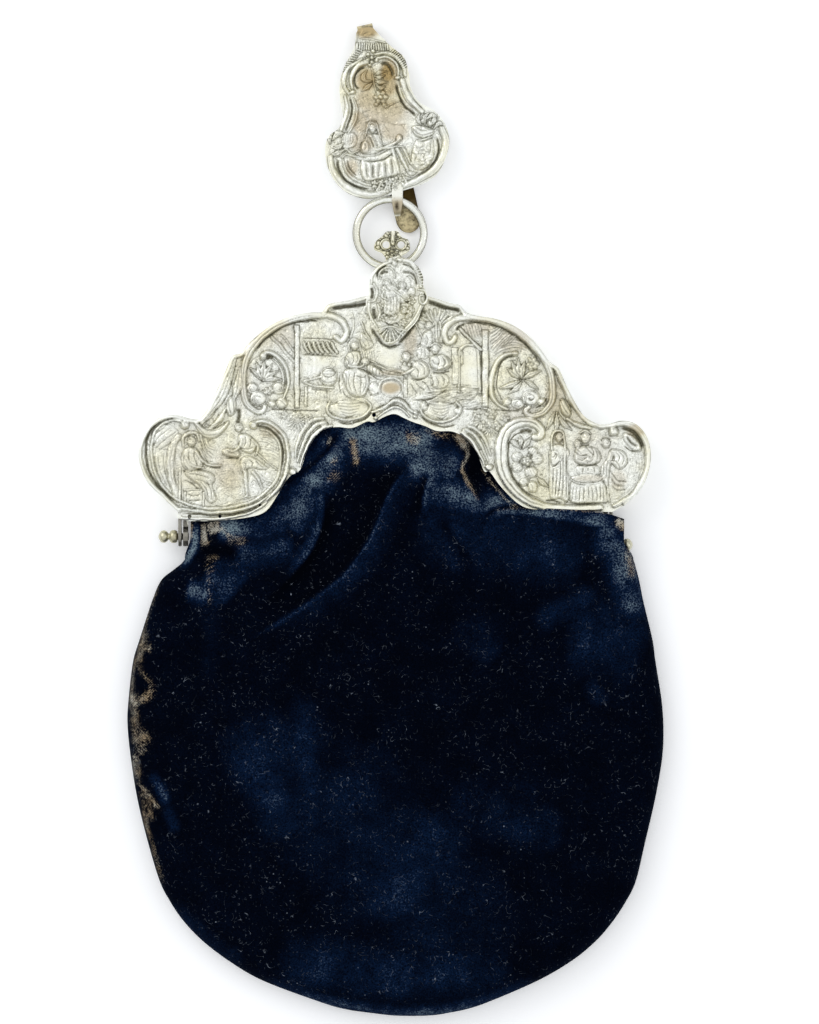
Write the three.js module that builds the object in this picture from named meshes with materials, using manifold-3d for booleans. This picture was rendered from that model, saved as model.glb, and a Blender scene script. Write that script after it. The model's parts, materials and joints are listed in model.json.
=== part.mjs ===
// Silver frame bag lying on its back: hinged relief frame, clasp flap, ring, belt hook and velvet pouch.
// Millimetres, +X to the right, +Y towards the belt hook, +Z up from the surface it lies on.
import * as THREE from 'three';
import { mergeVertices } from 'three/addons/utils/BufferGeometryUtils.js';
import Module from 'manifold-3d';

const wasm = await Module();
wasm.setup();

// Plan positions are read in picture points and turned into millimetres about the middle of the bag.
const MM_PER_POINT = 0.325;
const MIDDLE = { x: 395.5, y: 517.5 };

// Heights of the closed frame
const BACK_PLATE_TOP = 1.2;
const BACK_WALL_TOP = 5.0;
const FRONT_WALL_LOW = 5.3;
const FRONT_PLATE_LOW = 9.4;
const FRONT_PLATE_TOP = 10.6;
const WALL = 1.6;

// Frame hinges
const HINGE_Z = 5.2;
const HINGE_Y = { left: -6.2, right: -8.9 };
const HINGE_PIN_R = 1.1;
const HINGE_HOLE_R = 1.5;
const LUG_R = 3.2;
const OUTER_LUG = { near: 69.6, far: 70.7 };
const INNER_LUG = { near: 67.5, far: 69.1 };

// Clasp
const CLASP_AXIS = { y: 80, z: 11 };
const CLASP_PIN_R = 0.75;
const CLASP_HOLE_R = 1.05;
const KNUCKLE_R = 1.7;
const FLAP_LOW = 13.0;
const FLAP_TOP = 14.4;
const EARS = [{ from: -6.6, to: -4.8 }, { from: 5.8, to: 7.6 }];

// Suspension ring, its eye on the frame and its tab on the belt hook
const RING = { x: -1.79, y: 92.6, r: 11.0, wire: 1.25 };
const RING_LOW_Z = 3.15;
const RING_HIGH_Z = 5.0;
const EYE = { from: -3.2, to: -0.4, hole: 1.75, outer: 3.1 };
const TAB = { x: 0.49, half: 1.95, hole: 2.0, outer: 2.9 };

// Belt hook
const HOOK_LOW = 6.4;
const HOOK_TOP = 7.6;
const TONGUE = { foldX: -10.24, foldY: 160.6, lean: 12.7, length: 69.7, thick: 1.0, outer: 3.8 };

// Velvet pouch
const CLOTH = 1.5;
const MOUTH_CLOTH = 1.2;
const SEAM_Z = 4.6;
const SEAM_INSET = 2.2;
const EDGE_ROUND = 9;
const POUCH_HEIGHT = 12.6;
const POUCH_CROWN = 2.2;
const SLIT_Y = -13.6;
const TUCK = 4.0;
const COLUMNS = 26;
const LOW_ROWS = 12;
const MOUTH_ROWS = 5;

// Upper edge of the frame from the left lobe over the top to the right lobe: [x, y]
const UPPER_EDGE = [
  [178, 512], [160, 495], [146, 480], [138.5, 457], [142, 437], [154, 421], [172, 414.5], [190, 418.5],
  [199, 419], [207, 410], [217, 390], [226, 370], [232, 356], [241, 353], [250, 342], [270, 326],
  [290, 316.5], [310, 312.5], [322, 312], [329, 304], [350, 300], [367, 296], [395, 293], [427, 296],
  [450, 303], [460, 305], [466, 312], [478, 316], [498, 319.5], [518, 328], [535, 342], [549, 361],
  [559, 369], [568, 389], [583, 415], [598, 424], [610, 423.5], [622, 420.5], [636, 424], [647, 437],
  [651, 455], [648, 474], [640, 491], [625, 505],
];

// Lower edge of the frame, where the velvet is sewn on, from right to left: [x, y]
const LOWER_EDGE = [
  [612, 512], [585, 511], [545, 510], [522, 506], [502, 488], [490, 472], [484, 471], [477, 453],
  [465, 438], [452, 431.5], [437, 431], [425, 426], [413, 422], [404, 418], [395, 414], [386, 416],
  [374, 422], [367, 421.5], [352, 428], [336, 427], [320, 432], [308, 449], [300, 470], [289, 477],
  [277, 496], [266, 511], [250, 517], [220, 520.5], [190, 521], [177, 518],
];

// Raised scrolls and mouldings of the front plate: half width, height and path
const FRAME_SCROLLS = [
  { half: 1.2, rise: 1.4, path: [[343, 340], [346, 330], [338, 321], [315, 317], [275, 330], [247, 360],
    [242, 382], [250, 408], [266, 411]] },
  { half: 1.2, rise: 1.4, path: [[449, 344], [444, 334], [454, 322], [475, 319], [515, 332], [545, 361],
    [554, 388], [544, 412], [529, 413]] },
  { half: 1.2, rise: 1.4, path: [[186, 427], [172, 420], [152, 431], [145, 455], [156, 485], [185, 506],
    [222, 510], [258, 500], [282, 474], [286, 448], [273, 427], [253, 426]] },
  { half: 1.2, rise: 1.4, path: [[541, 436], [528, 424], [507, 434], [501, 458], [514, 487], [545, 505],
    [585, 508], [622, 501], [644, 472], [645, 443], [630, 426], [614, 432]] },
  { half: 0.8, rise: 1.2, path: [[258, 357], [274, 358], [288, 373], [288, 391], [279, 406]] },
  { half: 0.8, rise: 1.2, path: [[518, 354], [501, 362], [492, 383], [497, 401], [508, 408]] },
  { half: 0.7, rise: 0.9, path: [[296.5, 326], [296.5, 366], [296.5, 407]] },
  { half: 0.7, rise: 0.9, path: [[485, 330], [485, 368], [485, 406]] },
  { half: 0.5, rise: 0.7, path: [[302, 354], [319, 355], [336, 356]] },
  { half: 0.5, rise: 0.7, path: [[459, 392], [459, 352], [469, 344], [479, 352], [479, 392]] },
  { half: 0.8, rise: 1.0, path: [[262, 411], [300, 411], [324, 411]] },
];

// Raised bosses of the front plate, the figures and flowers: middle, half width, half height and rise
const FRAME_BOSSES = [
  { x: 266, y: 383, wide: 4.8, tall: 5.6, rise: 1.5 },
  { x: 354, y: 347, wide: 1.7, tall: 2.0, rise: 1.6 },
  { x: 356, y: 373, wide: 3.6, tall: 6.6, rise: 1.4 },
  { x: 406, y: 357, wide: 1.6, tall: 1.9, rise: 1.6 },
  { x: 413, y: 370, wide: 3.6, tall: 3.2, rise: 1.4 },
  { x: 434, y: 348, wide: 1.6, tall: 1.9, rise: 1.6 },
  { x: 440, y: 363, wide: 3.0, tall: 4.0, rise: 1.4 },
  { x: 518, y: 370, wide: 5.0, tall: 3.4, rise: 1.4 },
  { x: 526, y: 398, wide: 4.0, tall: 2.8, rise: 1.4 },
  { x: 188, y: 438, wide: 1.8, tall: 2.1, rise: 1.6 },
  { x: 188, y: 471, wide: 3.2, tall: 9.4, rise: 1.4 },
  { x: 246, y: 435, wide: 1.8, tall: 2.1, rise: 1.6 },
  { x: 247, y: 468, wide: 3.0, tall: 8.8, rise: 1.4 },
  { x: 528, y: 459, wide: 4.6, tall: 4.6, rise: 1.5 },
  { x: 558, y: 437, wide: 1.8, tall: 2.0, rise: 1.6 },
  { x: 559, y: 471, wide: 3.0, tall: 8.6, rise: 1.4 },
  { x: 588, y: 441, wide: 4.2, tall: 3.8, rise: 1.5 },
  { x: 588, y: 489, wide: 5.6, tall: 4.4, rise: 1.2 },
  { x: 618, y: 466, wide: 3.2, tall: 5.6, rise: 1.5 },
  { x: 349, y: 410, wide: 6.4, tall: 2.4, rise: 1.1 },
  { x: 440, y: 409, wide: 6.0, tall: 2.4, rise: 1.1 },
];

// Outline of the clasp flap: [x, y]
const FLAP_EDGE = [
  [395, 257], [384, 262], [374, 271], [369, 284], [369, 294], [366, 301], [368, 314], [376, 327], [381, 338],
  [389, 345], [397, 342], [406, 333], [417, 321], [422, 309], [427.5, 300], [426, 292], [423, 285], [423, 277],
  [417, 266], [407, 259],
];
const FLAP_SCROLLS = [
  { half: 0.9, rise: 1.0, path: [[371, 296], [374, 280], [385, 268], [396, 264]] },
  { half: 0.9, rise: 1.0, path: [[398, 264], [412, 268], [419, 280], [422, 296]] },
  { half: 0.8, rise: 0.9, path: [[369, 302], [372, 318], [382, 334]] },
  { half: 0.8, rise: 0.9, path: [[421, 304], [413, 322], [400, 336]] },
];
const FLAP_BOSSES = [
  { x: 395, y: 299, wide: 3.8, tall: 6.0, rise: 1.0 },
  { x: 389, y: 337, wide: 2.4, tall: 2.0, rise: 1.0 },
];

// Outline and the two loops of the crown: [x, y]
const CROWN_EDGE = [
  [388, 260], [382, 253], [374, 249], [378, 241], [385, 237], [387, 231], [391, 234], [395, 230], [399, 232],
  [401, 237], [407, 240], [410, 246], [409, 251], [403, 255], [397, 260],
];
const CROWN_LOOPS = [{ x: 386, y: 244.5, r: 1.15 }, { x: 401, y: 244.5, r: 1.15 }];
const CROWN_LOW = 4.9;
const CROWN_TOP = 6.2;

// Outline of the belt hook's plate: [x, y]
const HOOK_EDGE = [
  [357.5, 30], [354, 47], [346, 62], [340, 80], [340, 100], [343, 118], [338, 128], [328, 137], [325, 150],
  [328, 168], [338, 185], [352, 195], [370, 199], [388, 195], [404, 190], [422, 184], [437, 174], [446, 157],
  [449.5, 140], [445, 123], [434, 110], [420, 102], [411, 88], [409, 74], [404, 57], [391, 46], [377, 32],
  [371, 27],
];
const HOOK_SCROLLS = [
  { half: 1.2, rise: 1.3, path: [[351, 91], [346, 80], [353, 66], [368, 60]] },
  { half: 1.2, rise: 1.3, path: [[376, 58], [392, 59], [401, 70], [397, 79]] },
  { half: 1.1, rise: 1.2, path: [[345, 100], [348, 114], [341, 128]] },
  { half: 1.1, rise: 1.2, path: [[403, 84], [409, 98], [421, 110]] },
  { half: 1.6, rise: 1.5, path: [[330, 145], [332, 165], [344, 184], [364, 193], [388, 190], [416, 182],
    [435, 168], [444, 148], [442, 130]] },
  { half: 0.8, rise: 1.0, path: [[356, 44], [370, 47], [388, 50]] },
];
const HOOK_BOSSES = [
  { x: 381, y: 97, wide: 1.8, tall: 1.8, rise: 1.4 },
  { x: 376, y: 78, wide: 2.4, tall: 4.8, rise: 1.2 },
  { x: 373, y: 126, wide: 1.6, tall: 1.8, rise: 1.5 },
  { x: 373, y: 146, wide: 3.2, tall: 5.2, rise: 1.3 },
  { x: 378, y: 167, wide: 6.0, tall: 3.4, rise: 1.2 },
  { x: 425, y: 148, wide: 4.2, tall: 6.4, rise: 1.4 },
  { x: 337, y: 143, wide: 2.6, tall: 3.0, rise: 1.3 },
  { x: 391, y: 183, wide: 3.8, tall: 2.2, rise: 1.5 },
];

// Outline of the pouch below the side slits: height and the two edges in millimetres
const POUCH_EDGE = [
  { y: -161.2, left: -5, right: 8.5 },
  { y: -159.3, left: -18.4, right: 21.6 },
  { y: -156.0, left: -29.4, right: 33.0 },
  { y: -151.5, left: -40.6, right: 43.7 },
  { y: -145.3, left: -51.8, right: 55.1 },
  { y: -136.5, left: -62.9, right: 66.1 },
  { y: -122.9, left: -74.3, right: 75.6 },
  { y: -108.9, left: -79.8, right: 80.1 },
  { y: -91.7, left: -84.7, right: 84.3 },
  { y: -68.9, left: -86.6, right: 86.6 },
  { y: -46.2, left: -84.7, right: 84.3 },
  { y: -33.2, left: -81.1, right: 82.1 },
  { y: -20.8, left: -75.4, right: 79.8 },
  { y: SLIT_Y, left: -68.7, right: 77.8 },
];
const SLIT_TOP = { left: -66.8, right: 75.4 };

// Folds of the front of the pouch: width, rise and the line of the fold
const FOLDS = [
  { wide: 7, rise: 2.0, path: [[400, 477], [379, 532], [340, 580], [288, 616]] },
  { wide: 6, rise: 1.4, path: [[316, 496], [318, 536], [281, 587]] },
  { wide: 6, rise: 1.6, path: [[395, 500], [417, 461], [441, 459], [452, 481]] },
  { wide: 7, rise: -1.4, path: [[372, 500], [345, 548], [300, 590], [250, 640]] },
  { wide: 6, rise: 1.0, path: [[575, 590], [545, 612], [500, 650]] },
];

const SILVER = new THREE.Color(0.86, 0.84, 0.78);
const BRASSY = new THREE.Color(0.72, 0.66, 0.5);
const VELVET = new THREE.Color(0.02, 0.03, 0.07);

const planX = (x) => (x - MIDDLE.x) * MM_PER_POINT;
const planY = (y) => (MIDDLE.y - y) * MM_PER_POINT;
const toPlan = ([x, y]) => new THREE.Vector2(planX(x), planY(y));

function smooth(low, high, value) {
  return THREE.MathUtils.smoothstep(value, low, high);
}

// A closed spline through the points, as plan points closer together
function closedFlow(points, perSpan) {
  const raised = points.map((p) => new THREE.Vector3(p.x, p.y, 0));
  const curve = new THREE.CatmullRomCurve3(raised, true, 'centripetal');
  return curve.getPoints(points.length * perSpan).slice(0, -1).map((p) => new THREE.Vector2(p.x, p.y));
}

function toSolid(geometry) {
  geometry.deleteAttribute('normal');
  geometry.deleteAttribute('uv');
  const merged = mergeVertices(geometry, 1e-4);
  return new wasm.Manifold(new wasm.Mesh({
    numProp: 3,
    vertProperties: new Float32Array(merged.attributes.position.array),
    triVerts: new Uint32Array(merged.index.array),
  }));
}

function plate(points, low, high) {
  const shape = new THREE.Shape(points);
  const geometry = new THREE.ExtrudeGeometry(shape, { depth: high - low, bevelEnabled: false });
  geometry.translate(0, 0, low);
  return toSolid(geometry);
}

function post(x, y, radius, low, high) {
  const geometry = new THREE.CylinderGeometry(radius, radius, high - low, 14);
  geometry.rotateX(Math.PI / 2);
  geometry.translate(x, y, (low + high) / 2);
  return toSolid(geometry);
}

// A plate standing across X: its side outline is drawn in Y and Z
function standing(shape, from, to, segments = 10) {
  const settings = { depth: to - from, bevelEnabled: false, curveSegments: segments };
  const geometry = new THREE.ExtrudeGeometry(shape, settings);
  const turned = new THREE.Matrix4().makeBasis(
    new THREE.Vector3(0, 1, 0), new THREE.Vector3(0, 0, 1), new THREE.Vector3(1, 0, 0));
  geometry.applyMatrix4(turned);
  geometry.translate(from, 0, 0);
  return toSolid(geometry);
}

function rod(radius, from, to, y, z, segments = 12) {
  const geometry = new THREE.CylinderGeometry(radius, radius, to - from, segments);
  geometry.rotateZ(Math.PI / 2);
  geometry.translate((from + to) / 2, y, z);
  return toSolid(geometry);
}

function block(x0, x1, y0, y1, z0, z1) {
  const geometry = new THREE.BoxGeometry(x1 - x0, y1 - y0, z1 - z0);
  geometry.translate((x0 + x1) / 2, (y0 + y1) / 2, (z0 + z1) / 2);
  return toSolid(geometry);
}

// A rounded moulding along a path, sunk to its middle in the plate
function moulding({ half, rise, path }, z) {
  const points = path.map(toPlan).map((p) => new THREE.Vector3(p.x, p.y, z));
  const curve = new THREE.CatmullRomCurve3(points, false, 'centripetal');
  const section = [0, 1, 2, 3, 4, 5].map((k) => new THREE.Vector2(
    rise * Math.cos(k * Math.PI / 3), half * Math.sin(k * Math.PI / 3)));
  const steps = Math.ceil((path.length - 1) * 1.5);
  const settings = { steps, extrudePath: curve, bevelEnabled: false };
  return toSolid(new THREE.ExtrudeGeometry(new THREE.Shape(section), settings));
}

function boss({ x, y, wide, tall, rise }, z) {
  const geometry = new THREE.CylinderGeometry(0.55, 1, 1, 8);
  geometry.rotateX(Math.PI / 2);
  geometry.scale(wide, tall, rise + 0.4);
  geometry.translate(planX(x), planY(y), z + (rise - 0.4) / 2);
  return toSolid(geometry);
}

function withRelief(base, scrolls, bosses, z) {
  const raised = [...scrolls.map((s) => moulding(s, z)), ...bosses.map((b) => boss(b, z))];
  return raised.reduce((whole, piece) => whole.add(piece), base);
}

// Frame halves
const upper = UPPER_EDGE.map(toPlan);
const lower = LOWER_EDGE.map(toPlan);
const frameEdge = [...upper, ...lower];

// The hollow of the frame: the upper edge moved in by the wall, open below the lower edge
function hollowEdge() {
  const inner = upper.map((point, i) => {
    const before = upper[Math.max(i - 1, 0)];
    const after = upper[Math.min(i + 1, upper.length - 1)];
    const along = after.clone().sub(before).normalize();
    return new THREE.Vector2(point.x + along.y * WALL, point.y - along.x * WALL);
  });
  const last = inner[inner.length - 1];
  return [...inner, new THREE.Vector2(last.x, -20), new THREE.Vector2(inner[0].x, -20)];
}
const hollow = hollowEdge();

// A hinge lug: a disc round the pin with an arm up to the plate
function lugShape(hingeY, plateZ, inward) {
  const armLow = inward > 0 ? HINGE_Z + 0.2 : HINGE_Z - LUG_R + 0.2;
  const armHigh = inward > 0 ? HINGE_Z + LUG_R - 0.2 : HINGE_Z - 0.2;
  const shape = new THREE.Shape();
  shape.moveTo(hingeY, armLow);
  shape.lineTo(2.8, armLow);
  shape.lineTo(4.6, Math.min(armLow, plateZ));
  shape.lineTo(7.2, Math.min(armLow, plateZ));
  shape.lineTo(7.2, Math.max(armHigh, plateZ));
  shape.lineTo(4.6, Math.max(armHigh, plateZ));
  shape.lineTo(2.8, armHigh);
  shape.lineTo(hingeY, armHigh);
  shape.closePath();
  return shape;
}

function lug(side, span, plateZ, inward) {
  const hingeY = HINGE_Y[side];
  const from = side === 'left' ? -span.far : span.near;
  const to = side === 'left' ? -span.near : span.far;
  const arm = standing(lugShape(hingeY, plateZ, inward), from, to);
  const disc = rod(LUG_R, from, to, hingeY, HINGE_Z, 14);
  const hole = rod(HINGE_HOLE_R, from - 1, to + 1, hingeY, HINGE_Z);
  return arm.add(disc).subtract(hole);
}

function frontFrame() {
  let frame = plate(frameEdge, FRONT_WALL_LOW, FRONT_PLATE_TOP);
  frame = frame.subtract(plate(hollow, FRONT_WALL_LOW - 1, FRONT_PLATE_LOW));
  frame = frame.add(lug('left', OUTER_LUG, FRONT_PLATE_LOW + 0.5, 1));
  frame = frame.add(lug('right', OUTER_LUG, FRONT_PLATE_LOW + 0.5, 1));
  return withRelief(frame, FRAME_SCROLLS, FRAME_BOSSES, FRONT_PLATE_TOP - 0.1);
}

// An ear of the clasp, its side outline in Y and Z
function ear({ from, to }) {
  const shape = new THREE.Shape();
  shape.moveTo(71.4, 0);
  shape.lineTo(79.6, 0);
  shape.lineTo(79.6, 5);
  shape.lineTo(CLASP_AXIS.y + 1.5, CLASP_AXIS.z - 1.2);
  shape.absarc(CLASP_AXIS.y, CLASP_AXIS.z, 1.6, -0.2, Math.PI + 0.3, false);
  shape.lineTo(74.4, 4.4);
  shape.lineTo(71.4, 4.4);
  shape.closePath();
  return standing(shape, from, to);
}

function eye() {
  const shape = new THREE.Shape();
  shape.absarc(81.6, RING_LOW_Z, EYE.outer, 0, Math.PI * 2, false);
  const hole = new THREE.Path();
  hole.absarc(81.6, RING_LOW_Z, EYE.hole, 0, Math.PI * 2, true);
  shape.holes.push(hole);
  return standing(shape, EYE.from, EYE.to, 12).add(block(EYE.from, EYE.to, 71, 79.4, 0.05, 2.2));
}

function crown() {
  const loops = CROWN_LOOPS.map(({ x, y, r }) => post(planX(x), planY(y), r, CROWN_LOW - 1, CROWN_TOP + 1));
  const face = plate(closedFlow(CROWN_EDGE.map(toPlan), 2), CROWN_LOW, CROWN_TOP);
  return loops.reduce((open, loop) => open.subtract(loop), face);
}

function backFrame() {
  let frame = plate(frameEdge, 0, BACK_WALL_TOP);
  frame = frame.subtract(plate(hollow, BACK_PLATE_TOP, BACK_WALL_TOP + 1));
  frame = frame.add(lug('left', INNER_LUG, BACK_PLATE_TOP - 0.4, -1));
  frame = frame.add(lug('right', INNER_LUG, BACK_PLATE_TOP - 0.4, -1));
  frame = frame.add(block(EARS[0].from, EARS[1].to, 70, 79.6, 0, BACK_PLATE_TOP));
  for (const one of EARS) {
    frame = frame.add(ear(one));
  }
  frame = frame.subtract(rod(CLASP_HOLE_R, -9, 10, CLASP_AXIS.y, CLASP_AXIS.z));
  return frame.add(eye()).add(crown());
}

// A hinge rivet with a collar and a ball outside the lugs, turned about X
function hingePin(side) {
  const profile = [
    [0, 67.3], [HINGE_PIN_R, 67.3], [HINGE_PIN_R, 71.0], [1.9, 71.1], [2.1, 72.2], [1.9, 73.3], [1.1, 73.6],
    [1.1, 74.0], [1.9, 74.6], [2.1, 75.5], [1.6, 76.5], [0.9, 77.0], [0, 77.2],
  ].map(([r, x]) => new THREE.Vector2(r, x));
  const geometry = new THREE.LatheGeometry(profile, 10);
  geometry.rotateZ(side === 'left' ? Math.PI / 2 : -Math.PI / 2);
  geometry.translate(0, HINGE_Y[side], HINGE_Z);
  return toSolid(geometry);
}

function claspFlap() {
  const face = plate(closedFlow(FLAP_EDGE.map(toPlan), 2), FLAP_LOW, FLAP_TOP);
  const raised = withRelief(face, FLAP_SCROLLS, FLAP_BOSSES, FLAP_TOP - 0.1);
  const from = EARS[0].to + 0.4;
  const to = EARS[1].from - 0.4;
  const web = block(from, to, CLASP_AXIS.y - 1.2, CLASP_AXIS.y + 1.2, CLASP_AXIS.z, FLAP_LOW + 0.4);
  const knuckle = rod(KNUCKLE_R, from, to, CLASP_AXIS.y, CLASP_AXIS.z, 16).add(web);
  return raised.add(knuckle.subtract(rod(CLASP_HOLE_R, -9, 10, CLASP_AXIS.y, CLASP_AXIS.z)));
}

function claspPin() {
  return rod(CLASP_PIN_R, EARS[0].from - 0.5, EARS[1].to + 0.5, CLASP_AXIS.y, CLASP_AXIS.z);
}

function suspensionRing() {
  const geometry = new THREE.TorusGeometry(RING.r, RING.wire, 8, 36);
  geometry.rotateX(Math.atan2(RING_HIGH_Z - RING_LOW_Z, 2 * RING.r));
  geometry.translate(RING.x, RING.y, (RING_LOW_Z + RING_HIGH_Z) / 2);
  return toSolid(geometry);
}

// The bent strip: its side outline runs from the plate round the fold and down the tongue
function tongue() {
  const { foldX, foldY, lean, length, thick, outer } = TONGUE;
  const side = new THREE.Shape();
  side.moveTo(12, 2 * outer);
  side.lineTo(outer, 2 * outer);
  side.absarc(outer, outer, outer, Math.PI / 2, Math.PI * 1.5, false);
  side.lineTo(length, 0);
  side.lineTo(length, thick);
  side.lineTo(outer, thick);
  side.absarc(outer, outer, outer - thick, Math.PI * 1.5, Math.PI / 2, true);
  side.lineTo(12, 2 * outer - thick);
  side.closePath();
  const strip = standing(side, -6, 6, 12);
  const plan = new THREE.Shape();
  plan.moveTo(-2.4, -1);
  plan.lineTo(2.4, -1);
  plan.lineTo(4.4, length - 8);
  plan.bezierCurveTo(4.4, length - 2.5, 2.6, length, 0, length);
  plan.bezierCurveTo(-2.6, length, -4.4, length - 2.5, -4.4, length - 8);
  plan.closePath();
  const outline = new THREE.ExtrudeGeometry(plan, { depth: 12, bevelEnabled: false, curveSegments: 6 });
  outline.translate(0, 0, -2);
  return strip.intersect(toSolid(outline)).rotate([0, 0, 180 + lean]).translate([foldX, foldY, 0]);
}

function tab() {
  const span = Math.sqrt(RING.r ** 2 - (TAB.x - RING.x) ** 2);
  const middleY = RING.y + span;
  const middleZ = (RING_LOW_Z + RING_HIGH_Z) / 2 + (RING_HIGH_Z - RING_LOW_Z) / 2 * span / RING.r;
  const loop = rod(TAB.outer, TAB.x - TAB.half, TAB.x + TAB.half, middleY, middleZ, 16);
  const arm = block(TAB.x - TAB.half, TAB.x + TAB.half, middleY, middleY + 6.5, 6.9, HOOK_TOP);
  const hole = rod(TAB.hole, TAB.x - 4, TAB.x + 4, middleY, middleZ, 16);
  return loop.add(arm).subtract(hole);
}

function beltHook() {
  const face = plate(closedFlow(HOOK_EDGE.map(toPlan), 2), HOOK_LOW, HOOK_TOP);
  const raised = withRelief(face, HOOK_SCROLLS, HOOK_BOSSES, HOOK_TOP - 0.1);
  return raised.add(tongue()).add(tab());
}

// Lower edge of the frame as a height over x, for the mouth of the pouch
function edgeHeight(x) {
  const row = lower.findIndex((p, i) => i > 0 && x <= lower[i - 1].x && x >= p.x);
  if (row < 0) {
    return x > 0 ? lower[0].y : lower[lower.length - 1].y;
  }
  const [right, left] = [lower[row - 1], lower[row]];
  return THREE.MathUtils.mapLinear(x, left.x, right.x, left.y, right.y);
}

function distanceTo(line, x, y) {
  const point = new THREE.Vector3(x, y, 0);
  const near = new THREE.Vector3();
  let least = Infinity;
  for (let i = 1; i < line.length; i += 1) {
    const span = new THREE.Line3(
      new THREE.Vector3(line[i - 1].x, line[i - 1].y, 0), new THREE.Vector3(line[i].x, line[i].y, 0));
    span.closestPointToPoint(point, true, near);
    least = Math.min(least, near.distanceTo(point));
  }
  return least;
}

// The velvet lies over the right hinge and is tucked under the frame everywhere else
const overHinge = (x) => smooth(planX(532), planX(552), x);
const tuckAt = (x) => THREE.MathUtils.lerp(TUCK, -0.6, smooth(planX(508), planX(530), x));

function pouchRow(edge, y) {
  const row = edge.findIndex((r, i) => i > 0 && y <= r.y + 1e-6);
  const [low, high] = [edge[row - 1], edge[row]];
  return {
    left: THREE.MathUtils.mapLinear(y, low.y, high.y, low.left, high.left),
    right: THREE.MathUtils.mapLinear(y, low.y, high.y, low.right, high.right),
  };
}

// Columns stand closer together towards the seams
const acrossAt = (c) => {
  const t = c / COLUMNS;
  return 0.55 * t + 0.45 * (0.5 - 0.5 * Math.cos(Math.PI * t));
};

// One skin of the pouch as plan points in rows, seam edge inset for the inner skin
function pouchRows(inset) {
  const bottom = POUCH_EDGE[0].y + inset;
  const rows = [];
  for (let r = 0; r <= LOW_ROWS; r += 1) {
    const share = 1 - Math.cos(r / LOW_ROWS * Math.PI / 2);
    const y = THREE.MathUtils.lerp(bottom, SLIT_Y, 0.35 * r / LOW_ROWS + 0.65 * share);
    const full = pouchRow(POUCH_EDGE, Math.max(y - inset * (1 - r / LOW_ROWS), POUCH_EDGE[0].y));
    const { left, right } = { left: full.left + inset, right: full.right - inset };
    rows.push(Array.from({ length: COLUMNS + 1 }, (_, c) => {
      return [THREE.MathUtils.lerp(left, right, acrossAt(c)), y];
    }));
  }
  for (let r = 1; r <= MOUTH_ROWS; r += 1) {
    const up = r / MOUTH_ROWS;
    const start = pouchRow(POUCH_EDGE, SLIT_Y);
    const pull = smooth(0, 0.45, up);
    const left = THREE.MathUtils.lerp(start.left + inset, SLIT_TOP.left, pull);
    const right = THREE.MathUtils.lerp(start.right - inset, SLIT_TOP.right, pull);
    rows.push(Array.from({ length: COLUMNS + 1 }, (_, c) => {
      const x = THREE.MathUtils.lerp(left, right, acrossAt(c));
      return [x, THREE.MathUtils.lerp(SLIT_Y, edgeHeight(x) + tuckAt(x), up)];
    }));
  }
  return rows;
}

function foldRise(x, y) {
  let rise = 0;
  for (const fold of FOLDS) {
    const away = distanceTo(fold.path.map(toPlan), x, y) / fold.wide;
    rise += fold.rise * Math.exp(-away * away * 2);
  }
  return rise;
}

// Heights of the front and back skins at a plan point; cloth is the thickness left off the outer skin
function skinHeights(x, y, seam, cloth) {
  const off = Math.min(distanceTo(seam, x, y) / EDGE_ROUND, 1);
  const swell = Math.sqrt(1 - (1 - off) ** 2);
  const inside = y > edgeHeight(x) ? -1 : 1;
  const below = inside * distanceTo(lower, x, y);
  const free = smooth(2.5, 15, below);
  const hinge = overHinge(x);
  const under = THREE.MathUtils.lerp(8.8, 11.2, hinge);
  const middle = 1 - (x / 90) ** 2;
  const full = POUCH_HEIGHT + POUCH_CROWN * middle + foldRise(x, y);
  const wall = cloth === 0 ? 0 : THREE.MathUtils.lerp(MOUTH_CLOTH, CLOTH, free);
  const front = THREE.MathUtils.lerp(under, full, free) - wall;
  const back = THREE.MathUtils.lerp(1.6, 0, Math.max(free, hinge)) + wall;
  return {
    front: SEAM_Z + (front - SEAM_Z) * swell,
    back: SEAM_Z + (back - SEAM_Z) * swell,
  };
}

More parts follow.
